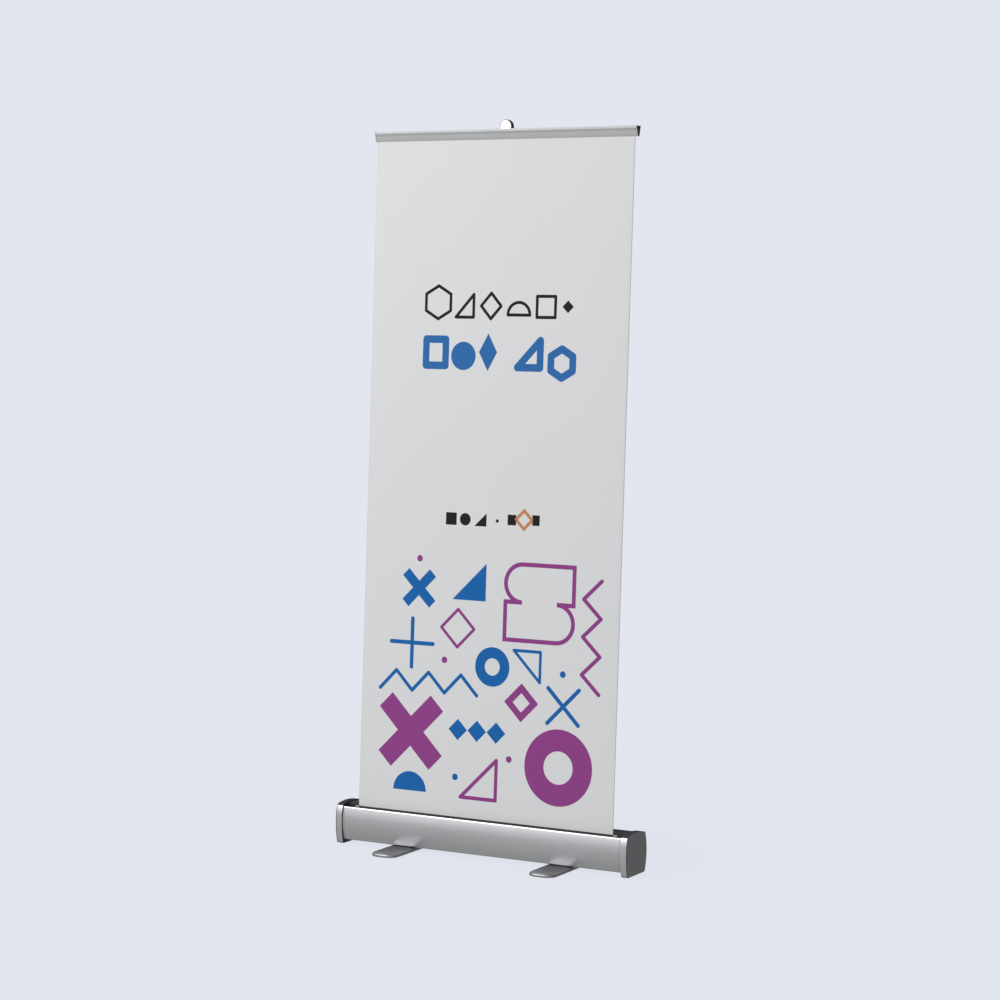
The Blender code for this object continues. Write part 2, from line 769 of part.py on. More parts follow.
def make_rail(plane, parts, cutters):
    back = extrude(
        "rail_back_profile", [rail_back_outline()], -RAIL_HALF, RAIL_HALF, parts, plane
    )
    dress(back, "silver")
    pivot = (0, *JAW_PIVOT)
    jaw = extrude(
        "rail_front_jaw", [rail_jaw_outline()], -RAIL_HALF, RAIL_HALF, parts, plane, pivot
    )
    dress(jaw, "silver")
    for name, side in SIDES:
        inner = side * (RAIL_HALF + GAP)
        outline = [rail_cap_outline()]
        cap = extrude(
            f"rail_end_cap_{name}", outline, inner, side * RAIL_CAP_OUTER, parts, plane
        )
        bevel(cap, 0.0005, 1, 60)
        start, end = sorted((side * (RAIL_HALF - RAIL_PEG_IN), side * (RAIL_HALF + RAIL_PEG_OUT)))
        peg = box_mesh("rail_peg", (start, *RAIL_PEG[0]), (end, *RAIL_PEG[1]))
        combine(cap, tool(f"rail_peg_{name}", peg, cutters, parent=plane), "UNION")
        dress(cap, "graphite")


def make_banner(plane, parts):
    half, thin = BANNER_WIDTH / 2, BANNER_THICKNESS / 2
    sheet = box_mesh("banner_sheet", (-half, -thin, BANNER_BOTTOM), (half, thin, BANNER_TOP))
    dress(add_object("banner_sheet", sheet, parts, parent=plane), "print")
    near = thin + GAP
    far = near + BANNER_THICKNESS
    half = LEADER_WIDTH / 2
    strip = box_mesh("leader_strip", (-half, near, -0.020), (half, far, 0.005))
    dress(add_object("leader_strip", strip, parts, parent=plane), "leader")


# ---------------------------------------------------------------- feet


def foot_outline():
    """Long pad with round corners."""
    x, y = FOOT_HALF_WIDTH - FOOT_CORNER, FOOT_HALF_LENGTH - FOOT_CORNER
    points = []
    for quarter, (sx, sy) in enumerate(((1, 1), (-1, 1), (-1, -1), (1, -1))):
        for i in range(7):
            angle = math.pi / 2 * (quarter + i / 6)
            reach = FOOT_CORNER * Vector((math.cos(angle), math.sin(angle)))
            points.append(Vector((sx * x, sy * y)) + reach)
    return points


def make_foot(name, side, parts, cutters):
    """Foot, its rubber pads, and the bolt, washer and nut that it swivels on."""
    pivot = Vector((side * FOOT_X, 0, 0))
    thickness = FOOT_TOP - FOOT_BOTTOM
    mesh = extruded_mesh(f"foot_{name}", [foot_outline()], thickness / 2)
    smooth(mesh)
    place = pivot + Vector((0, 0, (FOOT_TOP + FOOT_BOTTOM) / 2))
    foot = add_object(f"foot_{name}", mesh, parts, place)
    bevel(foot, FOOT_EDGE, 2, 50)
    drill_foot(foot, name, pivot, cutters)
    dress(foot, "black")
    make_foot_pads(name, pivot, parts)
    make_foot_bolt(name, pivot, parts)


def drill_foot(foot, name, pivot, cutters):
    """The bolt's bore, the pocket for its head and the pockets for the pads, from below."""
    pocket = PAD_RADIUS + 0.0004
    holes = [
        ("bore", 0, BOLT_BORE, 2 * FOOT_TOP),
        ("head", 0, BOLT_HEAD_BORE, BOLT_HEAD_POCKET_TOP),
        ("front", -PAD_OFFSET, pocket, PAD_POCKET_TOP),
        ("back", PAD_OFFSET, pocket, PAD_POCKET_TOP),
    ]
    bottom = -FOOT_TOP
    for label, y, radius, top in holes:
        body = cylinder_mesh("foot_hole", radius, top - bottom, 20)
        place = pivot + Vector((0, y, (top + bottom) / 2))
        hole = tool(f"foot_hole_{name}_{label}", body, cutters, location=place)
        combine(foot, hole, "DIFFERENCE")


def make_foot_pads(name, pivot, parts):
    profile = [
        (0, 0.0024),
        (PAD_RADIUS, 0.0024),
        (PAD_RADIUS, 0.0006),
        (PAD_RADIUS - 0.0006, 0),
        (0, 0),
    ]
    for label, y in (("front", -PAD_OFFSET), ("back", PAD_OFFSET)):
        place = pivot + Vector((0, y, 0))
        pad = turned(f"foot_pad_{name}_{label}", profile, parts, 20, location=place)
        dress(pad, "rubber")


def make_foot_bolt(name, pivot, parts):
    bolt = [
        (0, 0.0210),
        (0.0030, 0.0210),
        (0.0030, 0.0057),
        (0.0065, 0.0057),
        (0.0065, 0.0030),
        (0.0055, 0.0022),
        (0, 0.0022),
    ]
    dress(turned(f"foot_bolt_{name}", bolt, parts, 16, location=pivot), "zinc")
    washer = tube_profile(FOOT_TOP + GAP, SHELL_BOTTOM - GAP, 0.009, BOLT_BORE)
    dress(turned(f"foot_washer_{name}", washer, parts, 20, location=pivot), "zinc")
    seat = SHELL_BOTTOM + SHELL_WALL + GAP
    nut = tube_profile(seat, seat + NUT_HEIGHT, 0.0065, 0.0036)
    ring = turned(f"foot_nut_{name}", nut, parts, 6, location=pivot)
    dress(ring, "zinc")


# ---------------------------------------------------------------- whole stand


def main():
    clear_scene()
    parts = new_collection("roll_up_banner_stand")
    cutters = new_collection("cutters")
    plane = empty("banner_plane", parts, SLOT, (-BANNER_LEAN, 0, 0))
    axis = empty("pole_axis", parts, POLE_SEAT, (-POLE_TILT, 0, 0))
    cover = make_cassette(parts, cutters)
    for name, side in SIDES:
        make_end(name, side, parts, cutters)
        make_foot(name, side, parts, cutters)
    make_roller(parts)
    make_pole(axis, plane, cover, parts, cutters)
    make_rail(plane, parts, cutters)
    make_banner(plane, parts)


main()
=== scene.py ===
"""Roll-up banner stand: the looks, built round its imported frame.

Metres, +Z up. +X is the banner's right as its reader sees it, and +Y is the back.
Sections of the cassette are (y, z). Sections of the clamp rail are (behind, up): the
distance behind the banner's middle surface, and the distance up it from the slot.
"""

import json
import math

import bmesh
import bpy
from mathutils import Euler, Matrix, Vector


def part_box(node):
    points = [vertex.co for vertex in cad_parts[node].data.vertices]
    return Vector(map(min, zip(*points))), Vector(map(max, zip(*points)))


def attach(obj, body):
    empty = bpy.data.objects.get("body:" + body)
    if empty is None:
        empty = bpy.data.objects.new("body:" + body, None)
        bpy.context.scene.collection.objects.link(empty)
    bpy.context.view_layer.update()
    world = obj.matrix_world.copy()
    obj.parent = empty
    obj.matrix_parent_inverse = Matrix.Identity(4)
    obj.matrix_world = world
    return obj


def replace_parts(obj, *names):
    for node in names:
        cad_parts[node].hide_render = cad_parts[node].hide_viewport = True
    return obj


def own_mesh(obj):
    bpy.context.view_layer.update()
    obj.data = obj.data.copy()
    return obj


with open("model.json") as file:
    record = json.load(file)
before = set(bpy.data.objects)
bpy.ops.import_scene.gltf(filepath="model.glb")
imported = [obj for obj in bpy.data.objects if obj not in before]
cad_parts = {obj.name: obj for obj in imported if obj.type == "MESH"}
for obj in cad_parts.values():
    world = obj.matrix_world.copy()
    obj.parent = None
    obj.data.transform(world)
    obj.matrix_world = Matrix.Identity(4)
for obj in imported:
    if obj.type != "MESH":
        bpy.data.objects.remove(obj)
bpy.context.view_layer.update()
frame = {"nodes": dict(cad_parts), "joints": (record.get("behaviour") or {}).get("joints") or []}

SIDES = (("left", -1), ("right", 1))
GAP = 0.0003
SEAM = 0.0005

# Places along X: the end caps' two faces, their covers' outer face, and the feet's pivots
CAP_INNER = 0.4646
CAP_OUTER = 0.4835
COVER_OUTER = 0.4855
FOOT_PLACE = 0.262

# Banner film, in its own leaning plane: distances up it count from the slot
FILM = 0.0005
ROLL_BELOW_SLOT = 0.056
SHEET_LOW, SHEET_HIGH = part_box("banner_sheet")
SHEET_RISE = SHEET_HIGH - SHEET_LOW
LEAN = math.atan2(SHEET_RISE.y - FILM, SHEET_RISE.z)
UP = Vector((0, math.sin(LEAN), math.cos(LEAN)))
BEHIND = Vector((0, math.cos(LEAN), -math.sin(LEAN)))
SLOT = Vector((0, SHEET_LOW.y + FILM / 2, SHEET_LOW.z)) + ROLL_BELOW_SLOT * UP
FILM_HALF = SHEET_HIGH.x
FILM_TOP = 1.980
RAIL_BOTTOM = 1.961
RAIL_ROOF = 1.990
RAIL_HALF = 0.4275

# Pole: telescoping tubes along one axis, with heights measured from its seat
POLE_SEAT = Vector((0, 0.017, 0.018))
LOWER_RADIUS, MIDDLE_RADIUS, UPPER_RADIUS = 0.0105, 0.0090, 0.0075
LOWER_MOUTH, MIDDLE_MOUTH = 0.720, 1.410
POLE = next(j for j in frame["joints"] if j["name"] == "pole_upper_slide")

# Studio: the pale backdrop, and the surround's brightness by height in degrees
PALE = (0.7605, 0.7913, 0.8631)
FRONT_LEVELS = [(-90, 0.22), (-42, 0.33), (-20, 0.43), (-6, 0.45), (3, 0.46), (9, 0.82)]
FRONT_LEVELS += [(17, 1.00), (28, 0.94), (48, 1.1), (66, 0.8), (90, 0.2)]
BACK_LEVELS = [(-90, 0.30), (-40, 0.42), (-20, 0.50), (-8, 0.25), (4, 0.10), (22, 0.10)]
BACK_LEVELS += [(45, 0.25), (90, 0.2)]


def mm(*values):
    """Millimetres as a vector in metres."""
    return Vector([v / 1000 for v in values])


def section(*points):
    """Points of a section, each given in millimetres."""
    return [mm(*point) for point in points]


# ---------------------------------------------------------------- outlines


def turned_point(radius, angle):
    """A point at a distance from the origin, in a direction."""
    return radius * Vector((math.cos(angle), math.sin(angle)))


def arc(start, middle, end, steps):
    """Points on the circle through three points, both ends included."""
    a, b, c = Vector(start), Vector(middle), Vector(end)
    d = 2 * (a.x * (b.y - c.y) + b.x * (c.y - a.y) + c.x * (a.y - b.y))
    aa, bb, cc = a.length_squared, b.length_squared, c.length_squared
    centre_x = (aa * (b.y - c.y) + bb * (c.y - a.y) + cc * (a.y - b.y)) / d
    centre_y = (aa * (c.x - b.x) + bb * (a.x - c.x) + cc * (b.x - a.x)) / d
    centre = Vector((centre_x, centre_y))
    radius = (a - centre).length
    first = math.atan2(a.y - centre.y, a.x - centre.x)
    last = math.atan2(c.y - centre.y, c.x - centre.x)
    turn = 1 if (b - a).cross(c - b) > 0 else -1
    sweep = (turn * (last - first)) % (2 * math.pi) * turn
    return [centre + turned_point(radius, first + sweep * i / steps) for i in range(steps + 1)]


def circle(centre, radius, steps=48):
    return [Vector(centre) + turned_point(radius, 2 * math.pi * i / steps) for i in range(steps)]


def chain(*runs):
    """Join runs of points end to end, without the points that repeat."""
    same = 1e-6
    points = []
    for run in runs:
        for p in run:
            point = Vector(p)
            if not points or (point - points[-1]).length > same:
                points.append(point)
    if (points[0] - points[-1]).length < same:
        points.pop()
    return points


def signed_area(points):
    """The area inside an outline, positive where it runs anticlockwise."""
    pairs = zip(points, points[1:] + points[:1])
    return sum(p.cross(q) for p, q in pairs) / 2


def mitre(before, here, after, distance):
    """The corner at here, moved to the left of the path by a distance."""
    incoming = (here - before).normalized()
    outgoing = (after - here).normalized()
    side_in = Vector((-incoming.y, incoming.x))
    side_out = Vector((-outgoing.y, outgoing.x))
    middle = (side_in + side_out).normalized()
    return here + middle * distance / middle.dot(side_in)


def round_corner(before, here, after, distance):
    """The path's left side at a corner: an arc where that side is the outer one."""
    heading_in, heading_out = here - before, after - here
    bend = math.atan2(heading_in.cross(heading_out), heading_in.dot(heading_out))
    if bend * distance >= 0:
        return [mitre(before, here, after, distance)]
    start = math.atan2(heading_in.y, heading_in.x) + math.pi / 2
    longest_step = 0.25
    steps = max(1, round(abs(bend) / longest_step))
    return [here + turned_point(distance, start + bend * i / steps) for i in range(steps + 1)]


def offset(points, distance):
    """A closed outline moved outwards by a distance, or inwards by a negative one."""
    turn = -1 if signed_area(points) > 0 else 1
    corners = zip(points[-1:] + points[:-1], points, points[1:] + points[:1])
    return [p for corner in corners for p in round_corner(*corner, turn * distance)]


# ---------------------------------------------------------------- meshes


def on_floor(x, y, z):
    """A point of a cassette section."""
    return Vector((x, y, z))


def in_plane(x, behind, up):
    """A point of a rail section, in the banner's leaning plane."""
    return SLOT + Vector((x, 0, 0)) + behind * BEHIND + up * UP


def mesh_of(name, shape):
    """A smooth-shaded mesh whose faces all look outwards."""
    bmesh.ops.recalc_face_normals(shape, faces=shape.faces)
    mesh = bpy.data.meshes.new(name)
    shape.to_mesh(mesh)
    shape.free()
    mesh.shade_smooth()
    return mesh


def add_piece(name, mesh):
    obj = bpy.data.objects.new(name, mesh)
    bpy.context.scene.collection.objects.link(obj)
    return obj


def lofted(name, rings, place=on_floor):
    """A closed body through rings of equally many points, each ring a list of 3-D points."""
    shape = bmesh.new()
    rows = [[shape.verts.new(place(*point)) for point in ring] for ring in rings]
    count = len(rows[0])
    for lower, upper in zip(rows, rows[1:]):
        for i in range(count):
            j = (i + 1) % count
            shape.faces.new((lower[i], lower[j], upper[j], upper[i]))
    shape.faces.new(rows[0][::-1])
    shape.faces.new(rows[-1])
    return add_piece(name, mesh_of(name, shape))


def extruded(name, outline, x_from, x_to, place=on_floor):
    """A section that runs along X between two places."""
    ends = [[(x, p[0], p[1]) for p in outline] for x in (x_from, x_to)]
    return lofted(name, ends, place)


def turned(name, profile, axis, segments=64, flutes=0, flute_depth=0.0, fluted=()):
    """A turned piece: a closed profile of (radius, height) swept about an axis.

    Profile points whose numbers are in fluted are pressed in by shallow grip flutes.
    """
    shape = bmesh.new()
    columns = []
    for i in range(segments):
        angle = 2 * math.pi * i / segments
        dip = flute_depth * (0.5 - 0.5 * math.cos(flutes * angle)) ** 2
        column = []
        for number, (radius, height) in enumerate(profile):
            reach = radius - (dip if number in fluted else 0)
            spot = Vector((reach * math.cos(angle), reach * math.sin(angle), height))
            column.append(shape.verts.new(axis @ spot))
        columns.append(column)
    for here, after in zip(columns, columns[1:] + columns[:1]):
        for i in range(len(profile)):
            j = (i + 1) % len(profile)
            shape.faces.new((here[i], after[i], after[j], here[j]))
    bmesh.ops.remove_doubles(shape, verts=shape.verts, dist=1e-7)
    return add_piece(name, mesh_of(name, shape))


def soften(obj, width, segments=3, angle=35):
    """Round the edges sharper than an angle in degrees; the broad faces stay flat."""
    edge = obj.modifiers.new("edge", "BEVEL")
    edge.width = width
    edge.segments = segments
    edge.limit_method = "ANGLE"
    edge.angle_limit = math.radians(angle)
    edge.miter_outer = "MITER_ARC"
    edge.use_clamp_overlap = True
    flat = obj.modifiers.new("flat", "WEIGHTED_NORMAL")
    flat.weight = 80
    flat.keep_sharp = True


def dress(obj, materials):
    """Give a piece these materials and no others."""
    obj.data.materials.clear()
    for material in materials:
        obj.data.materials.append(material)


def settle(obj):
    """Apply a piece's modifiers, so that its mesh is final; its materials stay."""
    materials = list(obj.data.materials)
    graph = bpy.context.evaluated_depsgraph_get()
    mesh = bpy.data.meshes.new_from_object(obj.evaluated_get(graph))
    obj.modifiers.clear()
    obj.data = mesh
    dress(obj, materials)


def combine(obj, other, operation):
    """Cut another body out of a piece or join it on, and drop that body."""
    step = obj.modifiers.new("combine", "BOOLEAN")
    step.operation = operation
    step.solver = "EXACT"
    step.object = other
    settle(obj)
    bpy.data.objects.remove(other)


def rod(name, axis, radius, low, high, segments):
    """A round bar along an axis, between two heights on it."""
    profile = [(0, high), (radius, high), (radius, low), (0, low)]
    return turned(name, profile, axis, segments)


def drill(obj, axis, radius, low, high):
    """Cut a round hole along an axis, between two heights on it."""
    combine(obj, rod("drill", axis, radius, low, high, 40), "DIFFERENCE")


def block(name, low, high, place=on_floor):
    """A box between two corners."""
    corners = [(low[1], low[2]), (high[1], low[2]), (high[1], high[2]), (low[1], high[2])]
    return extruded(name, corners, low[0], high[0], place)


def split_faces(obj, second):
    """Give the faces whose normal passes a test the second material, and the others the first."""
    for face in obj.data.polygons:
        face.material_index = 1 if second(face.normal) else 0


def fit(obj, body, slot, *materials):
    """Give a piece its materials and the body that it rides on; its slot is not used."""
    dress(obj, materials)
    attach(obj, body)
    return obj


# ---------------------------------------------------------------- materials


def ranged(tree, source, source_range, result_range=(0.0, 1.0), smooth=False):
    """A value that runs over one range as its source runs over another."""
    node = tree.nodes.new("ShaderNodeMapRange")
    if smooth:
        node.interpolation_type = "SMOOTHSTEP"
    sockets = ("From Min", "From Max", "To Min", "To Max")
    for socket, value in zip(sockets, (*source_range, *result_range)):
        node.inputs[socket].default_value = value
    tree.links.new(source, node.inputs["Value"])
    return node.outputs["Result"]


def colours_of(sockets):
    """The sockets that carry a colour."""
    return [socket for socket in sockets if socket.type == "RGBA"]


class Surface:
    """One Principled material and the nodes that vary it, in object coordinates."""

    def __init__(self, name, roughness, metallic=0.0, specular=0.5):
        self.material = bpy.data.materials.new(name)
        self.material.use_nodes = True
        self.tree = self.material.node_tree
        self.nodes, self.links = self.tree.nodes, self.tree.links
        self.shader = self.nodes["Principled BSDF"]
        self.shader.inputs["Roughness"].default_value = roughness
        self.shader.inputs["Metallic"].default_value = metallic
        self.shader.inputs["Specular IOR Level"].default_value = specular
        self.place = self.nodes.new("ShaderNodeTexCoord").outputs["Object"]

    def stretched(self, scale):
        """Object coordinates scaled per axis, in repeats per metre."""
        mapping = self.nodes.new("ShaderNodeMapping")
        mapping.inputs["Scale"].default_value = scale
        self.links.new(self.place, mapping.inputs["Vector"])
        return mapping.outputs["Vector"]

    def noise(self, scale, detail=4.0):
        """Soft noise; its scale is one number, or one for each axis."""
        texture = self.nodes.new("ShaderNodeTexNoise")
        texture.inputs["Scale"].default_value = 1.0
        texture.inputs["Detail"].default_value = detail
        texture.inputs["Roughness"].default_value = 0.55
        scales = scale if isinstance(scale, tuple) else (scale, scale, scale)
        self.links.new(self.stretched(scales), texture.inputs["Vector"])
        return texture.outputs["Fac"]

    def cells(self, scale):
        """Distance to the nearest cell centre, for a moulded grain."""
        texture = self.nodes.new("ShaderNodeTexVoronoi")
        texture.inputs["Scale"].default_value = 1.0
        self.links.new(self.stretched((scale, scale, scale)), texture.inputs["Vector"])
        return texture.outputs["Distance"]

    def span(self, source, low, high, source_low=0.3, source_high=0.7):
        """A value that runs from low to high as the source does over its own range."""
        return ranged(self.tree, source, (source_low, source_high), (low, high))

    def math(self, operation, first, second):
        """One sum on two values, each a number or a socket."""
        node = self.nodes.new("ShaderNodeMath")
        node.operation = operation
        for socket, value in zip(node.inputs, (first, second)):
            if isinstance(value, (int, float)):
                socket.default_value = value
            else:
                self.links.new(value, socket)
        return node.outputs["Value"]

    def tint(self, source, low, high):
        """A colour between two others."""
        node = self.nodes.new("ShaderNodeMix")
        node.data_type = "RGBA"
        self.links.new(source, node.inputs["Factor"])
        for socket, colour in zip(colours_of(node.inputs), (low, high)):
            if isinstance(colour, tuple):
                socket.default_value = (*colour, 1)
            else:
                self.links.new(colour, socket)
        return colours_of(node.outputs)[0]

    def edges(self, radius):
        """One where the surface turns over an edge, and nought on its broad faces."""
        over_edge, broad = 0.85, 0.995
        rounding = self.nodes.new("ShaderNodeBevel")
        rounding.samples = 4
        rounding.inputs["Radius"].default_value = radius
        surface = self.nodes.new("ShaderNodeNewGeometry")
        dot = self.nodes.new("ShaderNodeVectorMath")
        dot.operation = "DOT_PRODUCT"
        self.links.new(rounding.outputs["Normal"], dot.inputs[0])
        self.links.new(surface.outputs["Normal"], dot.inputs[1])
        return self.span(dot.outputs["Value"], 1.0, 0.0, over_edge, broad)

    def beyond(self, reach):
        """One outside a distance to either side of the middle, and nought inside it."""
        parts = self.nodes.new("ShaderNodeSeparateXYZ")
        self.links.new(self.place, parts.inputs[0])
        return self.math("GREATER_THAN", self.math("ABSOLUTE", parts.outputs["X"], 0.0), reach)

    def colour(self, source):
        self.links.new(source, self.shader.inputs["Base Color"])

    def rough(self, source):
        self.links.new(source, self.shader.inputs["Roughness"])

    def bump(self, source, height):
        """Relief of a height in metres; repeated calls add up."""
        node = self.nodes.new("ShaderNodeBump")
        node.inputs["Distance"].default_value = height
        node.inputs["Strength"].default_value = 1.0
        self.links.new(source, node.inputs["Height"])
        normal = self.shader.inputs["Normal"]
        if normal.is_linked:
            self.links.new(normal.links[0].from_socket, node.inputs["Normal"])
        self.links.new(node.outputs["Normal"], normal)


def shade(colour, factor):
    """A colour made lighter or darker."""
    return tuple(min(1.0, c * factor) for c in colour)


def metal(name, colour, roughness, grain, lacquer=0.0, grazing=1.0):
    """Metal, or plastic lacquered like it, with fine lines along the lowest scale of its grain.

    Lacquer takes away from the metal, and grazing is how bright it stays at a flat angle.
    """
    line_height = 0.000004
    surface = Surface(name, roughness, metallic=1.0 - lacquer)
    surface.shader.inputs["Specular Tint"].default_value = (grazing, grazing, grazing, 1)
    lines = surface.noise(grain, 3.0)
    cloud = surface.noise(9.0, 3.0)
    specks = surface.noise(1400.0, 2.0)
    surface.colour(surface.tint(cloud, shade(colour, 0.96), shade(colour, 1.04)))
    spread = surface.span(lines, roughness - 0.04, roughness + 0.05)
    surface.rough(surface.math("ADD", spread, surface.span(cloud, -0.02, 0.02)))
    surface.bump(lines, line_height)
    surface.bump(specks, line_height / 2)
    return surface.material


def moulded(name, colour, roughness, grain, specular=0.5):
    """Injection-moulded plastic: a fine leather-like grain, rubbed lighter on its edges."""
    grain_height, edge_width, wear = 0.00003, 0.0012, 1.35
    surface = Surface(name, roughness, specular=specular)
    cloud = surface.noise(14.0, 4.0)
    grit = surface.cells(grain)
    base = surface.tint(cloud, shade(colour, 0.90), shade(colour, 1.10))
    rubbed = surface.math("MULTIPLY", surface.edges(edge_width), surface.noise(60.0, 5.0))
    surface.colour(surface.tint(rubbed, base, shade(colour, wear)))
    spread = surface.span(grit, roughness - 0.05, roughness + 0.06, 0.1, 0.7)
    surface.rough(surface.math("ADD", spread, surface.span(cloud, -0.03, 0.03)))
    surface.bump(grit, grain_height)
    return surface.material


def film(name, colour, roughness, specular, shaded_edge=None):
    """Matt film or ink: a close calendered grain and the faintest clouding.

    A shaded edge is greyer, from its distance to either side of the middle: painted shade along
    the film's side edges.
    """
    grain_height = 0.000008
    surface = Surface(name, roughness, specular=specular)
    cloud = surface.noise(3.5, 3.0)
    mottle = surface.noise(180.0, 3.0)
    grain = surface.noise(2600.0, 2.0)
    shades = surface.tint(cloud, shade(colour, 0.985), shade(colour, 1.015))
    shades = surface.tint(surface.span(mottle, 0.0, 1.0), shades, shade(colour, 1.01))
    if shaded_edge:
        # Painted shade: a greyer band along both side edges of the film.
        shades = surface.tint(surface.beyond(shaded_edge), shades, shade(colour, 0.88))
    surface.colour(shades)
    surface.rough(surface.span(mottle, roughness - 0.05, roughness + 0.05))
    surface.bump(grain, grain_height)
    surface.bump(mottle, grain_height)
    return surface.material


def rubber(name, colour):
    """Dull rubber with a little dust on it."""
    surface = Surface(name, 0.85, specular=0.3)
    dust = surface.noise(90.0, 6.0)
    surface.colour(surface.tint(surface.span(dust, 0.0, 1.0), colour, shade(colour, 2.0)))
    surface.rough(surface.span(dust, 0.78, 0.92))
    surface.bump(surface.noise(900.0, 3.0), 0.00004)
    return surface.material


ALONG_X = (5.0, 900.0, 900.0)
ALONG_Z = (900.0, 900.0, 5.0)
BRUSHED = (700.0, 700.0, 30.0)
# Reach past which the film's side edges get their painted shade.
SHADED_EDGE = FILM_HALF - 0.0025

SATIN = metal("satin_aluminium", (0.66, 0.67, 0.685), 0.34, ALONG_X)
RAIL = metal("satin_aluminium_rail", (0.68, 0.69, 0.70), 0.36, ALONG_X, lacquer=0.45)
TUBE = metal("satin_aluminium_tube", (0.66, 0.67, 0.685), 0.30, ALONG_Z)
SILVER = metal("silver_cap", (0.70, 0.71, 0.725), 0.30, BRUSHED)
BRIGHT = metal("bright_hook", (0.96, 0.96, 0.96), 0.38, 500.0)
GRAPHITE = moulded("graphite_plastic", (0.040, 0.041, 0.045), 0.50, 1500.0, 0.25)
# Paler copy of the graphite, used only on the end covers' outer faces: painted light on those
# sides.
PAINTED_LIT_GRAPHITE = moulded("graphite_plastic_painted_lit_face", (0.235, 0.239, 0.255), 0.50, 1500.0, 0.30)
BLACK = moulded("black_plastic", (0.022, 0.022, 0.024), 0.55, 1200.0)
FOOT = metal("foot_plastic", (0.37, 0.373, 0.383), 0.39, 600.0, grazing=0.25)
RUBBER = rubber("rubber", (0.030, 0.030, 0.032))
ZINC = metal("zinc_steel", (0.55, 0.56, 0.58), 0.35, 400.0)
SPRING = metal("spring_steel", (0.30, 0.30, 0.32), 0.30, 600.0)
PAPER = film("printed_film", (0.798, 0.803, 0.813), 0.58, 0.30, SHADED_EDGE)
BACKING = film("film_back", (0.60, 0.61, 0.62), 0.62, 0.30)
LEADER = film("leader_film", (0.50, 0.505, 0.51), 0.45, 0.30)
# Dark strip across the foot of the film: painted shade where the film goes down into the slot.
PAINTED_SLOT_SHADOW = film("painted_slot_shadow", (0.060, 0.061, 0.065), 0.50, 0.20)
INK_DARK = film("ink_dark", (0.020, 0.020, 0.021), 0.60, 0.08)
INK_BLUE = film("ink_blue", (0.014, 0.145, 0.452), 0.60, 0.08)
INK_AZURE = film("ink_azure", (0.036, 0.165, 0.450), 0.60, 0.08)
INK_PURPLE = film("ink_purple", (0.310, 0.064, 0.275), 0.60, 0.08)
INK_COPPER = film("ink_copper", (0.62, 0.27, 0.12), 0.60, 0.08)


# ---------------------------------------------------------------- cassette


def cap_outline():
    """Pillow-shaped end: bowed front and back, domed top with round shoulders, flat bottom."""
    return chain(
        arc(mm(-52.6, 113.6), mm(-56.95, 103.1), mm(-59.4, 92), 12),
        arc(mm(-59.4, 92), mm(-61.4, 60), mm(-56, 8), 40),
        arc(mm(-56, 8), mm(-53.6, 3.1), mm(-48, 1), 10),
        arc(mm(44, 1), mm(49.9, 3.4), mm(52.3, 9), 10),
        arc(mm(52.3, 9), mm(61.8, 57), mm(55.5, 109), 40),
        arc(mm(55.5, 109), mm(53.6, 113.6), mm(49, 116.1), 10),
        arc(mm(49, 116.1), mm(-2, 122.9), mm(-49.4, 118.5), 40),
        arc(mm(-49.4, 118.5), mm(-51.11, 116.12), mm(-52.6, 113.6), 8),
    )


def shell_outline():
    """Open C section, from the rounded front lip under the roller to the ledge at the back."""
    return chain(
        arc(mm(-48.6, 111.9), mm(-50.2, 110.2), mm(-51.4, 107.6), 8),
        arc(mm(-51.4, 107.6), mm(-58, 61), mm(-52.8, 20), 48),
        arc(mm(-52.8, 20), mm(-51, 15.2), mm(-46, 13), 10),
        arc(mm(42, 13), mm(47.9, 15.3), mm(50.2, 20), 10),
        arc(mm(50.2, 20), mm(58.3, 58), mm(53.2, 106.5), 48),
        arc(mm(53.2, 106.5), mm(51.7, 110.9), mm(47.8, 113.3), 10),
        section((44.5, 114.2), (44.5, 112.0), (42, 112.3), (42, 110.8), (46, 110.2)),
        arc(mm(51.5, 105.5), mm(56.5, 58), mm(48.5, 20.5), 24),
        section((45, 14.8), (-47.5, 14.8)),
        arc(mm(-51, 21), mm(-56.2, 60), mm(-48.7, 110.2), 24),
        section((-47.9, 111.4)),
    )


def cover_outline():
    """Domed strip behind the slot, with a skirt down its front edge."""
    return chain(
        section((-26, 116.9), (-25.7, 117.5), (-25, 117.8)),
        arc(mm(-25, 117.8), mm(-2, 119.8), mm(44.2, 114.3), 40),
        arc(mm(44.2, 112.4), mm(-2, 117.8), mm(-24.2, 115.9), 40),
        section((-24.2, 108), (-26, 108)),
    )


def pole_axis():
    """The pole's own frame: its seat in the cassette, and Z along the tubes."""
    direction = Vector(POLE["axis"])
    if direction.z < 0:
        direction = -direction
    tilt = Euler((-math.atan2(direction.y, direction.z), 0, 0)).to_matrix().to_4x4()
    return Matrix.Translation(POLE_SEAT) @ tilt


AXIS = pole_axis()


def make_cassette():
    """Aluminium shell with a short shoulder at each end, and the graphite cover on top."""
    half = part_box("cassette_shell")[1].x
    shoulder, pole_hole = 0.0060, 0.014
    runs = {
        "base_shell": (-half + shoulder, half - shoulder),
        "base_shoulder_left": (-half, -half + shoulder - SEAM),
        "base_shoulder_right": (half - shoulder + SEAM, half),
    }
    for name, (start, end) in runs.items():
        shell = extruded(name, shell_outline(), start, end)
        soften(shell, 0.0003, 2)
        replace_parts(fit(shell, "base", "satin_aluminium", SATIN), "cassette_shell")
    cover = extruded("base_top_cover", cover_outline(), -half, half)
    drill(cover, AXIS, pole_hole, 0.05, 0.15)
    soften(cover, 0.0005, 2)
    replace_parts(fit(cover, "base", "graphite_plastic", GRAPHITE), "top_cover")


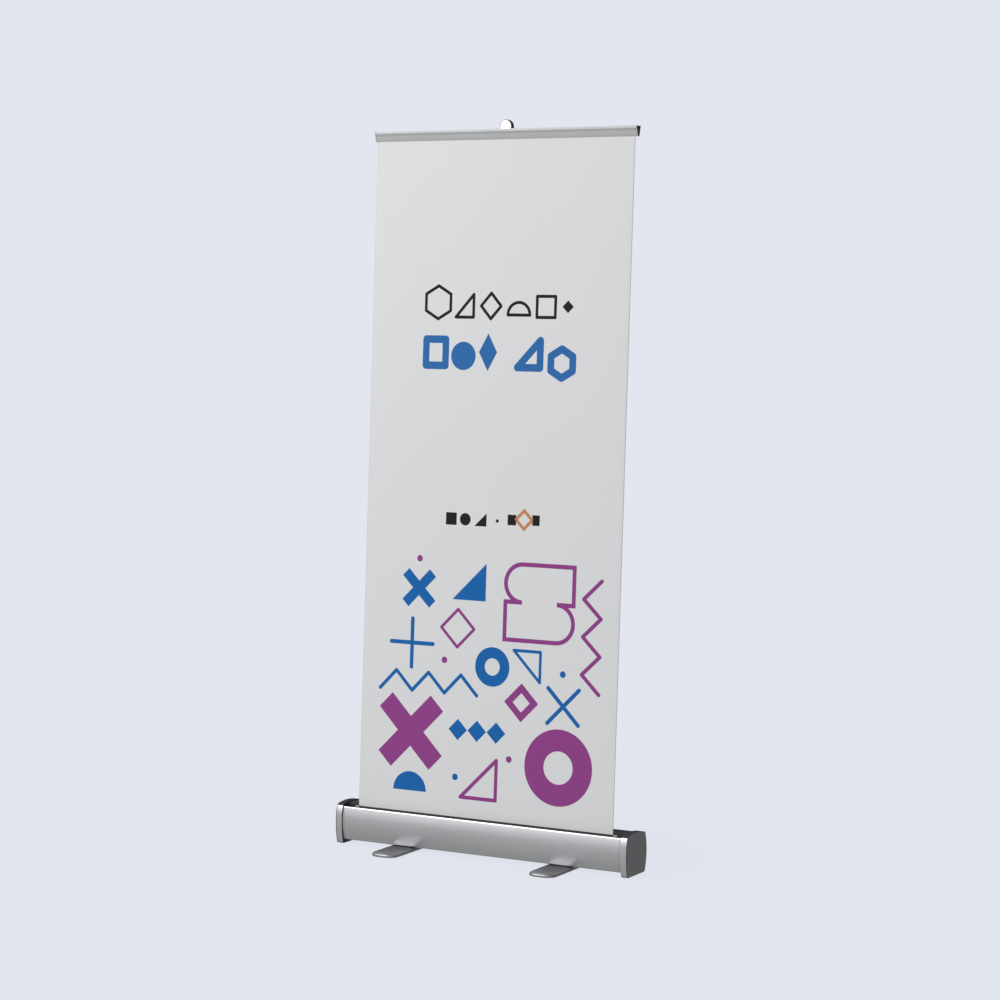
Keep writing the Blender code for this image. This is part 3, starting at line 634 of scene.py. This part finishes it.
def make_end(name, side):
    """End cap with a silver front and graphite flanks, which are painted shade, and its cover with
    a paler outer face, which is painted light.
    """
    front, painted_lit_facing, edge = -0.884, 0.9, 0.0012
    cap = extruded(f"base_cap_{name}", cap_outline(), side * CAP_INNER, side * CAP_OUTER)
    fit(cap, "base", "silver_cap", SILVER, GRAPHITE)
    # Faces turned up, back or sideways get the graphite: painted shade on the cap's top and
    # flanks, so only the front stays silver.
    split_faces(cap, lambda normal: normal.y >= front)
    soften(cap, edge, 4)
    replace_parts(cap, f"end_cap_{name}")
    seat = CAP_OUTER + GAP
    cover = extruded(f"base_cover_{name}", cap_outline(), side * seat, side * COVER_OUTER)
    fit(cover, "base", "graphite_plastic", GRAPHITE, PAINTED_LIT_GRAPHITE)
    # Faces that look straight out sideways get the paler graphite: painted light on the covers'
    # outer sides.
    split_faces(cover, lambda normal: abs(normal.x) > painted_lit_facing)
    soften(cover, edge, 4)
    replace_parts(cover, f"end_cover_{name}")


# ---------------------------------------------------------------- pole


def tube_profile(start, end, outer, inner):
    """A tube's wall, with its mouth and foot broken by small chamfers."""
    edge = 0.0003
    return [
        (outer, end - edge),
        (outer, start + edge),
        (outer - edge, start),
        (inner, start),
        (inner, end),
        (outer - edge, end),
    ]


def make_tube(name, node, body, start, end, radius):
    """One thin-walled tube of the pole, between two heights on its axis."""
    wall = 0.0012
    tube = turned(name, tube_profile(start, end, radius, radius - wall), AXIS)
    soften(tube, 0.0002, 1)
    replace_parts(fit(tube, body, "satin_aluminium", TUBE), node)


def make_collar(name, node, body, mouth, tube_radius, inner_radius):
    """Twist lock with grip flutes round its skirt and a plain ring at each end."""
    outer, rounding = tube_radius + 0.0035, 0.0015
    over, through = tube_radius + GAP, inner_radius + GAP + 0.0001
    top, bottom = 0.006, -0.032
    skirt = [0.0005, -0.0005, -0.0015, -0.0245, -0.0255, -0.0265]
    heights = [top - rounding] + skirt + [bottom + rounding]
    profile = [(outer - rounding, top)] + [(outer, height) for height in heights]
    profile += [(outer - rounding, bottom), (over, bottom)]
    profile += [(over, GAP), (through, GAP), (through, top)]
    grip, flutes, flute_depth = (4, 5), 18, 0.0009
    place = AXIS @ Matrix.Translation((0, 0, mouth))
    collar = turned(name, profile, place, 144, flutes, flute_depth, grip)
    soften(collar, 0.0003, 2)
    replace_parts(fit(collar, body, "graphite_plastic", GRAPHITE), node)


def make_socket():
    """Cup for the pole's foot, with a chamfered mouth and a round flange."""
    bore, outer, flange, chamfer = 0.0109, 0.0135, 0.0215, 0.0005
    mouth, step, bottom = 0.1050, 0.0020, -0.0010
    profile = [
        (bore, mouth),
        (outer - chamfer, mouth),
        (outer, mouth - chamfer),
        (outer, step),
        (flange, step),
        (flange, bottom),
        (0.0, bottom),
        (0.0, step),
        (bore, step),
    ]
    socket = turned("socket_cup", profile, AXIS)
    soften(socket, 0.0003, 2)
    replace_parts(fit(socket, "base", "black_plastic", BLACK), "pole_socket")


def make_pole():
    """Each tube slides in the one below it, through the collar on that tube's mouth."""
    lower, middle, upper = LOWER_RADIUS, MIDDLE_RADIUS, UPPER_RADIUS
    foot, overlap, top = 0.0050, 0.1, 2.0602
    middle_foot, upper_foot = LOWER_MOUTH - overlap, MIDDLE_MOUTH - overlap
    make_socket()
    make_tube("tube_lower", "pole_lower_tube", "base", foot, LOWER_MOUTH, lower)
    make_tube("tube_middle", "pole_middle_tube", "pole_middle", middle_foot, MIDDLE_MOUTH, middle)
    make_tube("tube_upper", "pole_upper_tube", "pole_upper", upper_foot, top, upper)
    make_collar("collar_lower", "lock_collar_lower", "collar_lower", LOWER_MOUTH, lower, middle)
    make_collar("collar_upper", "lock_collar_upper", "collar_upper", MIDDLE_MOUTH, middle, upper)


# ---------------------------------------------------------------- clamp rail and hook


def rail_back_outline():
    """Fixed half: roof, nose band, hinge rib, web, and the groove that the hook drops into."""
    roof = section((-9.2, 1990.0), (9.0, 1990.0), (9.0, 1988.4), (2.2, 1988.4))
    groove = section((2.2, 1962.4), (7.3, 1962.4), (13.2, 1988.0), (13.2, 1990.0))
    back = section((14.8, 1990.0), (14.8, 1988.0), (8.5, 1961.0), (0.7, 1961.0), (0.7, 1988.4))
    rib = section((-3.4, 1988.4), (-3.4, 1981.4), (-4.4, 1981.4), (-4.4, 1988.4))
    nose = section((-8.7, 1988.4), (-8.5, 1981.9), (-9.1, 1981.9), (-9.35, 1982.4), (-9.9, 1989.3))
    return roof + groove + back + rib + nose


def rail_jaw_outline():
    """Hinged half: the bead at its top, its gently bowed face and the lip that grips the film."""
    pivot, bead = mm(-6.3, 1982.0), 0.0013
    top = arc(pivot + Vector((bead, 0)), pivot + Vector((0, bead)), pivot - Vector((bead, 0)), 12)
    face = arc(mm(-5.1, 1975.8), mm(-3.2, 1968.0), mm(-2.2, 1964.6), 6)
    lip = section((-0.9, 1961.0), (-0.55, 1961.0), (-0.55, 1966.5), (-3.2, 1976.0))
    return chain(top, face, lip)


def rail_cap_outline():
    """The rail's outer section, closed across its front."""
    back = section((-9.9, 1990.0), (14.8, 1990.0), (14.8, 1988.0), (8.6, 1960.6))
    front = section((-0.9, 1960.6), (-2.4, 1964.6), (-5.2, 1975.8), (-7.6, 1981.9))
    return back + front + section((-9.1, 1981.9), (-9.35, 1982.4))


def make_rail():
    """Both halves of the rail, and its end caps, aluminium-coloured in front only; the caps'
    graphite on their other faces is painted shade.
    """
    cap_outer, front = 0.43265, -0.5
    back = extruded("rail_back", rail_back_outline(), -RAIL_HALF, RAIL_HALF, in_plane)
    soften(back, 0.00025, 2)
    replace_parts(fit(back, "pole_upper", "satin_aluminium", RAIL), "rail_back_profile")
    jaw = extruded("rail_jaw", rail_jaw_outline(), -RAIL_HALF, RAIL_HALF, in_plane)
    soften(jaw, 0.0002, 2, 50)
    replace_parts(fit(jaw, "clamp_jaw", "satin_aluminium", RAIL), "rail_front_jaw")
    for name, side in SIDES:
        start, end = side * (RAIL_HALF + GAP), side * cap_outer
        cap = extruded(f"rail_cap_{name}", rail_cap_outline(), start, end, in_plane)
        fit(cap, "pole_upper", "graphite_plastic", RAIL, GRAPHITE)
        # Faces that don't look forward get the graphite: painted shade on the caps' ends and tops.
        split_faces(cap, lambda normal: normal.y >= front)
        soften(cap, 0.0008, 3)
        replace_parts(cap, f"rail_end_cap_{name}")


def hook_plate(name, front, back, rim=0.0):
    """Round-topped plate on the rail's roof, between two distances behind the film."""
    round_top, height = 0.0197, 2.018
    radius, foot = round_top - rim, RAIL_ROOF + 0.0004
    centre = height - round_top
    outline = arc((radius, centre), (0, centre + radius), (-radius, centre), 48)
    outline = chain(outline, [(-radius, foot), (radius, foot)])
    rings = [[(p[0], behind, p[1]) for p in outline] for behind in (front, back)]
    return lofted(name, rings, in_plane)


def make_hook():
    """Hook: a graphite body that plugs into the pole and rail, with a bright face; the body's
    graphite is painted shade on the hook's sides.
    """
    face_front, face_back, body_front, body_back = 0.0095, 0.0104, 0.0107, 0.0237
    spigot_radius, spigot_low, spigot_high, rim = 0.0060, 2.0302, 2.0752, 0.0022
    body = hook_plate("hook_body", body_front, body_back)
    combine(body, block("stem", mm(-12, 15.3, 1971.5), mm(12, 33.5, 1993.5), in_plane), "UNION")
    combine(body, block("lip", mm(-15, 11.0, 1984.5), mm(15, 11.9, 1993.5), in_plane), "UNION")
    combine(body, rod("spigot", AXIS, spigot_radius, spigot_low, spigot_high, 48), "UNION")
    soften(body, 0.0008, 3)
    # The body's graphite is painted shade on the hook's sides; the face plate is bright metal.
    fit(body, "pole_upper", "graphite_plastic", GRAPHITE)
    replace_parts(body, "pole_hook")
    face = hook_plate("hook_face", face_front, face_back, rim)
    soften(face, 0.0004, 3)
    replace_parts(fit(face, "pole_upper", "bright_hook", BRIGHT), "pole_hook")


# ---------------------------------------------------------------- feet


def rounded_pad(half_width, half_length, corner):
    """Oblong outline with round corners, centred on the swivel."""
    x, y = half_width - corner, half_length - corner
    points, steps = [], 12
    for quarter, (sx, sy) in enumerate(((1, 1), (-1, 1), (-1, -1), (1, -1))):
        for i in range(steps + 1):
            angle = math.pi / 2 * (quarter + i / steps)
            points.append(Vector((sx * x, sy * y)) + turned_point(corner, angle))
    return points


def foot_levels():
    """Heights and insets of the foot's rings: a small lower edge and a soft upper one."""
    low, top, lower_edge, upper_edge, crown = 0.0010, 0.0120, 0.0010, 0.0070, 0.0125
    lower_steps, upper_steps = 4, 12
    levels = []
    for i in range(lower_steps + 1):
        angle = math.pi / 2 * i / lower_steps
        height = low + lower_edge * (1 - math.cos(angle))
        levels.append((height, lower_edge * (1 - math.sin(angle))))
    for i in range(upper_steps + 1):
        angle = math.pi / 2 * i / upper_steps
        height = top - upper_edge * (1 - math.sin(angle))
        levels.append((height, crown * (1 - math.cos(angle))))
    return levels


def make_foot(name, side):
    """Swivel foot, with pockets under it for its pads and washer, and the bolt's hole."""
    half_width, half_length, corner = 0.042, 0.165, 0.028
    pad_place, pad_radius, pad_depth = 0.135, 0.0124, 0.0028
    washer_radius, washer_depth, bolt_radius = 0.0075, 0.006, 0.0034
    below, above = -0.002, 0.02
    centre = side * FOOT_PLACE
    rings = []
    for height, inset in foot_levels():
        outline = rounded_pad(half_width - inset, half_length - inset, corner - inset)
        rings.append([(centre + p.x, p.y, height) for p in outline])
    foot = lofted(f"swivel_foot_{name}", rings)
    for y in (-pad_place, pad_place):
        drill(foot, Matrix.Translation((centre, y, 0)), pad_radius, below, pad_depth)
    pivot = Matrix.Translation((centre, 0, 0))
    drill(foot, pivot, washer_radius, below, washer_depth)
    drill(foot, pivot, bolt_radius, 0.001, above)
    foot.data.set_sharp_from_angle(angle=math.radians(40))
    fit(foot, f"foot_{name}", "foot_plastic", FOOT)
    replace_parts(foot, f"foot_{name}")


# ---------------------------------------------------------------- banner film and its print


def film_bow(x, up):
    """How far the film stands behind its flat plane: ripples, curled sides, the rail's grip."""
    hem, curl_height = 0.012, 0.0004
    grip_low, grip_rise, grip_step = RAIL_BOTTOM - 0.11, 0.06, 0.00025
    share = min(1, max(0, up / RAIL_BOTTOM))
    free = math.sin(math.pi * share) ** 0.5
    broad = 0.0006 * math.sin(10.3 * x + 1.1)
    ripple = broad + 0.0004 * math.sin(17.0 * x - 2.2 + 1.3 * share)
    curl = max(0, (abs(x) - FILM_HALF + hem) / hem)
    gripped = min(1, max(0, (up - grip_low) / grip_rise))
    return free * (ripple * (1 - 0.5 * curl) + curl_height * curl * curl) + grip_step * gripped


def on_film(x, up, proud=0.0):
    """A point on the film, or proud of its face."""
    return in_plane(x, film_bow(x, up) - proud, up)


def make_film():
    """The film as one sheet with a real thickness, from the roll to inside the rail."""
    across, along, thickness = 340, 120, 0.0004
    length = FILM_TOP + ROLL_BELOW_SLOT
    columns = [-FILM_HALF + 2 * FILM_HALF * i / across for i in range(across + 1)]
    rows = [-ROLL_BELOW_SLOT + length * i / along for i in range(along + 1)]
    shape = bmesh.new()
    grid = [[shape.verts.new(on_film(x, up)) for x in columns] for up in rows]
    for lower, upper in zip(grid, grid[1:]):
        for i in range(across):
            shape.faces.new((lower[i], lower[i + 1], upper[i + 1], upper[i]))
    mesh = bpy.data.meshes.new("banner_film")
    shape.to_mesh(mesh)
    shape.free()
    mesh.shade_smooth()
    sheet = add_piece("banner_film", mesh)
    fit(sheet, "base", "printed_film", PAPER, BACKING)
    body = sheet.modifiers.new("thickness", "SOLIDIFY")
    body.thickness = thickness
    body.offset = 0
    body.material_offset = 1
    settle(sheet)
    return sheet


def stroke(points, width):
    """Outline of an open line with round ends and mitred corners."""
    path = [Vector(p) for p in points]
    reach, steps = width / 2, 10
    corners = [path[i - 1 : i + 2] for i in range(1, len(path) - 1)]
    left = [p for corner in corners for p in round_corner(*corner, reach)]
    right = [p for corner in corners for p in round_corner(*corner, -reach)]
    ends = []
    for tip, inner in ((path[-1], path[-2]), (path[0], path[1])):
        heading = tip - inner
        start = math.atan2(heading.y, heading.x) + math.pi / 2
        turns = [start - math.pi * i / steps for i in range(steps + 1)]
        ends.append([tip + turned_point(reach, angle) for angle in turns])
    return left + ends[0] + right[::-1] + ends[1]


def line_shape(points, width):
    """A closed outline drawn as a line of a width: its outer and inner edges."""
    outline = [Vector(p) for p in points]
    return [offset(outline, width / 2), offset(outline, -width / 2)]


def cross(centre, reach, width, turn=0.0, round_ends=False):
    """Four equal arms about a centre, with square or round ends."""
    points, half, steps = [], width / 2, 8
    for quarter in range(4):
        angle = math.radians(turn + 90 * quarter)
        along, across = turned_point(1, angle), turned_point(1, angle + math.pi / 2)
        middle = Vector(centre)
        if round_ends:
            tip = middle + along * (reach - half)
            for i in range(steps + 1):
                swing = angle - math.pi / 2 + math.pi * i / steps
                points.append(tip + turned_point(half, swing))
        else:
            points.append(middle + along * reach - across * half)
            points.append(middle + along * reach + across * half)
        points.append(middle + along * half + across * half)
    return points


def diamond(centre, half):
    return [Vector(centre) + turned_point(half, math.pi / 2 * i) for i in range(4)]


def half_disc(centre, radius):
    """The upper half of a disc."""
    steps = 32
    angles = [math.pi * i / steps for i in range(steps + 1)]
    return [Vector(centre) + turned_point(radius, angle) for angle in angles]


def box_outline(left, right, low, high):
    return [Vector((left, low)), Vector((right, low)), Vector((right, high)), Vector((left, high))]


def zigzag(left, right, low, high, turns):
    """Points of a sideways zigzag that starts low."""
    step = (right - left) / turns
    return [(left + step * i, high if i % 2 else low) for i in range(turns + 1)]


def blue_shapes():
    """Blue figures of the lower pattern, in millimetres across and up from the slot."""
    return [
        cross((-238, 658.5), 64.5, 30, 45),
        [Vector(p) for p in ((-13, 741), (-124, 632.5), (-13, 632))],
        cross((-256.5, 497), 77, 12, 0, True),
        stroke(zigzag(-362, -33, 357.5, 413.5, 6), 10.5),
        circle((16, 445), 57),
        circle((16, 445), 25),
        *line_shape(((86, 498), (173.5, 498), (173.5, 411)), 9),
        circle((248, 440), 9.5),
        circle((-97.5, 116.5), 9.5),
        cross((252, 348.5), 77, 12, 45, True),
        diamond((-93, 255), 31),
        diamond((-29, 255), 31),
        diamond((35, 255), 31),
        half_disc((-251, 63), 56),
    ]


def purple_shapes():
    """Purple figures of the lower pattern."""
    return [
        circle((-238, 745), 9.5),
        circle((-145, 454), 9.5),
        circle((80, 183), 9.5),
        *line_shape(diamond((-103.5, 549), 55), 9),
        stroke([(y, x) for x, y in zigzag(712, 390.5, 365, 308.5, 6)], 11.5),
        diamond((115, 349), 56),
        diamond((115, 349), 28),
        circle((242, 173), 110, 96),
        circle((242, 173), 47.5),
        *line_shape(((39, 176), (-78, 60), (39, 60)), 11),
        cross((-253, 237.5), 123, 62, 45),
        *stacked_tiles((164.5, 636.5), 12.5),
    ]


def stacked_tiles(centre, line):
    """Two offset tiles with one round end each, drawn as one line that is open between them."""
    middle = Vector(centre)
    half_length, height = 111.5, 109.0
    radius, edge = height / 2, line / 2
    turn = half_length - radius
    crossing = 2 * math.sqrt(radius * edge)
    outside, inside = half_length + edge, half_length - edge

    def round_end(size, foot):
        """Round end of the upper tile, from its top to a place just above the shared edge."""
        return arc((-turn, radius + size), (-turn - size, radius), (foot, edge), 24)

    outer = round_end(radius + edge, -turn - crossing)
    outer += [Vector((-outside, edge)), Vector((-outside, -height - edge))]
    inner = round_end(radius - edge, -turn)
    inner += [Vector((-turn, -edge)), Vector((-inside, -edge)), Vector((-inside, -height + edge))]
    return [[middle + p for p in half] + [middle - p for p in half] for half in (outer, inner)]


def hexagon(centre, radius):
    """A regular hexagon that stands on a corner."""
    angles = [math.pi / 6 + math.pi / 3 * i for i in range(6)]
    return [Vector(centre) + turned_point(radius, angle) for angle in angles]


def kite(centre, half_width, half_height):
    arms = ((0, -half_height), (half_width, 0), (0, half_height), (-half_width, 0))
    return [Vector(centre) + Vector(arm) for arm in arms]


def headline_shapes():
    """A row of plain line figures where a headline would stand."""
    return [
        *line_shape(hexagon((-201, 1492), 48), 9),
        *line_shape(((-141, 1450), (-82, 1450), (-82, 1516)), 9),
        *line_shape(kite((-24, 1483), 33, 37), 9),
        *line_shape(half_disc((68, 1458), 36), 9),
        *line_shape(box_outline(127, 187, 1452, 1512), 9),
        kite((228, 1483), 18, 18),
    ]


def subhead_shapes():
    """A row of plain solid figures under it."""
    return [
        *line_shape(box_outline(-238, -172, 1309, 1385), 22),
        circle((-112, 1338), 41),
        kite((-30, 1350), 30, 54),
        *line_shape(((68, 1308), (142, 1308), (142, 1386)), 22),
        *line_shape(hexagon((213, 1322), 41), 22),
    ]


def mark_shapes():
    """Small plain figures in a row below the middle."""
    return [
        box_outline(-154, -118, 848, 884),
        circle((-89, 866), 18),
        [Vector(p) for p in ((-58, 848), (-18, 848), (-18, 886))],
        circle((18, 866), 5),
        box_outline(52, 80, 856, 886),
        box_outline(133, 157, 858, 888),
    ]


def copper_shapes():
    return [diamond((106, 873), 33), diamond((106, 873), 20)]


def printed(name, outlines, ink):
    """A layer of ink on the film, cut into cells so that it follows the film's bow."""
    layer, proud, cell = 0.00004, 0.00032, 0.030
    curve = bpy.data.curves.new(name, "CURVE")
    curve.dimensions = "2D"
    curve.fill_mode = "BOTH"
    curve.extrude = layer
    for outline in outlines:
        spline = curve.splines.new("POLY")
        spline.points.add(len(outline) - 1)
        for point, place in zip(spline.points, outline):
            point.co = (*mm(*place), 0, 1)
        spline.use_cyclic_u = True
    flat = add_piece(name, curve)
    graph = bpy.context.evaluated_depsgraph_get()
    mesh = bpy.data.meshes.new_from_object(flat.evaluated_get(graph))
    bpy.data.objects.remove(flat)
    bpy.data.curves.remove(curve)
    shape = bmesh.new()
    shape.from_mesh(mesh)
    bmesh.ops.remove_doubles(shape, verts=shape.verts, dist=1e-6)
    cut_in_cells(shape, cell)
    for vert in shape.verts:
        x, up, height = vert.co
        vert.co = on_film(x, up, proud + height)
    bpy.data.meshes.remove(mesh)
    piece = add_piece(name, mesh_of(name, shape))
    piece.data.set_sharp_from_angle(angle=math.radians(40))
    return fit(piece, "base", "printed_film", ink)


def cut_in_cells(shape, size):
    """Slice a flat shape along a square grid."""
    for axis in (0, 1):
        reach = [vert.co[axis] for vert in shape.verts]
        for number in range(math.ceil(min(reach) / size), math.floor(max(reach) / size) + 1):
            at, normal = Vector((0, 0, 0)), Vector((0, 0, 0))
            at[axis], normal[axis] = number * size, 1
            geometry = shape.verts[:] + shape.edges[:] + shape.faces[:]
            bmesh.ops.bisect_plane(shape, geom=geometry, plane_co=at, plane_no=normal, dist=1e-7)


def make_print():
    """The ink layers, and a dark strip across the film's foot, which is painted shade where the
    film goes down into the slot.
    """
    half = 1000 * FILM_HALF
    # Painted shade: a dark strip just above the slot, across the film's whole width.
    slot_shadow = box_outline(-half, half, -6, 0.8)
    return [
        printed("print_blue", blue_shapes(), INK_BLUE),
        printed("print_azure", subhead_shapes(), INK_AZURE),
        printed("print_purple", purple_shapes(), INK_PURPLE),
        printed("print_dark", headline_shapes() + mark_shapes(), INK_DARK),
        printed("print_copper", copper_shapes(), INK_COPPER),
        printed("painted_slot_shadow", [slot_shadow], PAINTED_SLOT_SHADOW),
    ]


def make_banner():
    """Film, print and leader, all of them riding on the base."""
    sheet = make_film()
    layers = make_print()
    for piece in [sheet] + layers:
        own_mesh(piece)
    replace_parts(sheet, "banner_sheet")
    half, foot, low, high = 0.438, -0.020, 0.00055, 0.00105
    strip = block("leader", (-half, low, foot), (half, high, 0.0006), in_plane)
    fit(strip, "base", "leader_film", LEADER)
    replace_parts(strip, "leader_strip")
    soften(strip, 0.0002, 1)
    settle(strip)
    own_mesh(strip)


# ---------------------------------------------------------------- CAD nodes that stay


# How each node's name starts, and its material
CARRIED = {
    "slot_guide": BLACK,
    "pole_foot_plug": BLACK,
    "roller_bush": BLACK,
    "spring_anchor": BLACK,
    "roller_tube": SATIN,
    "roller_shaft": ZINC,
    "torsion_spring": SPRING,
    "banner_roll": PAPER,
    "foot_pad": RUBBER,
    "foot_bolt": ZINC,
    "foot_nut": ZINC,
    "foot_washer": ZINC,
    "cap_screw": ZINC,
    "socket_screw": ZINC,
}


def dress_cad_nodes():
    """Better materials for the CAD nodes that are right as they are."""
    for node, obj in frame["nodes"].items():
        for start, material in CARRIED.items():
            if node.startswith(start):
                dress(obj, [material])


# ---------------------------------------------------------------- stage


def make_floor():
    """Pale floor that takes only a faint shadow, close round the stand."""
    drop, near, far, shadow = 0.0005, 0.3, 1.1, 0.07
    bpy.ops.mesh.primitive_plane_add(size=80, location=(0, 0, -drop))
    floor = bpy.context.object
    floor.name = "floor"
    material = bpy.data.materials.new("floor")
    material.use_nodes = True
    tree = material.node_tree
    nodes, links = tree.nodes, tree.links
    glow = nodes.new("ShaderNodeEmission")
    glow.inputs["Color"].default_value = (*PALE, 1)
    matt = nodes.new("ShaderNodeBsdfDiffuse")
    matt.inputs["Color"].default_value = (*PALE, 1)
    mix = nodes.new("ShaderNodeMixShader")
    place = nodes.new("ShaderNodeTexCoord")
    reach = nodes.new("ShaderNodeVectorMath")
    reach.operation = "LENGTH"
    links.new(place.outputs["Object"], reach.inputs[0])
    fade = ranged(tree, reach.outputs["Value"], (near, far), (shadow, 0.0), smooth=True)
    links.new(fade, mix.inputs["Fac"])
    links.new(glow.outputs["Emission"], mix.inputs[1])
    links.new(matt.outputs["BSDF"], mix.inputs[2])
    links.new(mix.outputs["Shader"], nodes["Material Output"].inputs["Surface"])
    floor.data.materials.append(material)
    floor.visible_glossy = False
    floor.visible_diffuse = False


def level_ramp(tree, height, levels):
    """A near-neutral brightness that follows the height of a direction."""
    blue = 1.01
    node = tree.nodes.new("ShaderNodeValToRGB")
    node.color_ramp.interpolation = "B_SPLINE"
    elements = node.color_ramp.elements
    while len(elements) < len(levels):
        elements.new(0.5)
    for element, (degrees, level) in zip(elements, levels):
        element.position = (math.sin(math.radians(degrees)) + 1) / 2
        element.color = (level, level, level * blue, 1)
    tree.links.new(height, node.inputs["Fac"])
    return node.outputs["Color"]


def front_share(tree, direction):
    """One towards the front of the studio, and nought towards its back."""
    forward, back, front = (-0.5, -0.866, 0.0), -0.35, 0.45
    facing = tree.nodes.new("ShaderNodeVectorMath")
    facing.operation = "DOT_PRODUCT"
    facing.inputs[1].default_value = forward
    tree.links.new(direction, facing.inputs[0])
    return ranged(tree, facing.outputs["Value"], (back, front), smooth=True)


def make_world():
    """Studio surround: bright in front and above, dim behind, and a pale backdrop."""
    world = bpy.data.worlds.new("studio")
    bpy.context.scene.world = world
    world.use_nodes = True
    tree = world.node_tree
    nodes, links = tree.nodes, tree.links
    direction = nodes.new("ShaderNodeTexCoord").outputs["Generated"]
    split = nodes.new("ShaderNodeSeparateXYZ")
    links.new(direction, split.inputs["Vector"])
    height = ranged(tree, split.outputs["Z"], (-1.0, 1.0))
    blend = nodes.new("ShaderNodeMix")
    blend.data_type = "RGBA"
    links.new(front_share(tree, direction), blend.inputs["Factor"])
    for socket, levels in zip(colours_of(blend.inputs), (BACK_LEVELS, FRONT_LEVELS)):
        links.new(level_ramp(tree, height, levels), socket)
    surround = nodes["Background"]
    links.new(colours_of(blend.outputs)[0], surround.inputs["Color"])
    backdrop = nodes.new("ShaderNodeBackground")
    backdrop.inputs["Color"].default_value = (*PALE, 1)
    seen = nodes.new("ShaderNodeLightPath")
    mix = nodes.new("ShaderNodeMixShader")
    links.new(seen.outputs["Is Camera Ray"], mix.inputs["Fac"])
    links.new(surround.outputs["Background"], mix.inputs[1])
    links.new(backdrop.outputs["Background"], mix.inputs[2])
    links.new(mix.outputs["Shader"], nodes["World Output"].inputs["Surface"])


def area_light(name, place, target, size, power, glossy=True):
    """A square lamp that faces a target; a lamp that isn't glossy has no reflection."""
    light = bpy.data.lights.new(name, "AREA")
    light.shape = "SQUARE"
    light.size = size
    light.energy = power
    obj = bpy.data.objects.new(name, light)
    obj.location = place
    aim = Vector(target) - Vector(place)
    obj.rotation_euler = aim.to_track_quat("-Z", "Y").to_euler()
    obj.visible_glossy = glossy
    obj.visible_camera = False
    bpy.context.scene.collection.objects.link(obj)


def make_lights():
    area_light("key", (-3.1, -3.6, 4.4), (0, 0, 1.1), 2.2, 113)
    area_light("back_fill", (-1.5, 4.5, 2.6), (0, 0, 1.0), 2.5, 85, glossy=False)


def make_camera():
    """A long lens, turned to the stand's right and a little downwards."""
    camera = bpy.data.cameras.new("camera")
    camera.lens = 101.85
    camera.sensor_width = 36
    obj = bpy.data.objects.new("camera", camera)
    obj.location = (4.0736, -6.9839, 1.7464)
    obj.rotation_euler = (math.radians(85), 0, math.radians(30))
    bpy.context.scene.collection.objects.link(obj)
    bpy.context.scene.camera = obj


# ---------------------------------------------------------------- whole stand


make_camera()
make_world()
make_lights()
make_floor()
make_cassette()
for end_name, end_side in SIDES:
    make_end(end_name, end_side)
    make_foot(end_name, end_side)
make_pole()
make_rail()
make_hook()
make_banner()
dress_cad_nodes()
bpy.context.scene.view_settings.view_transform = "Standard"
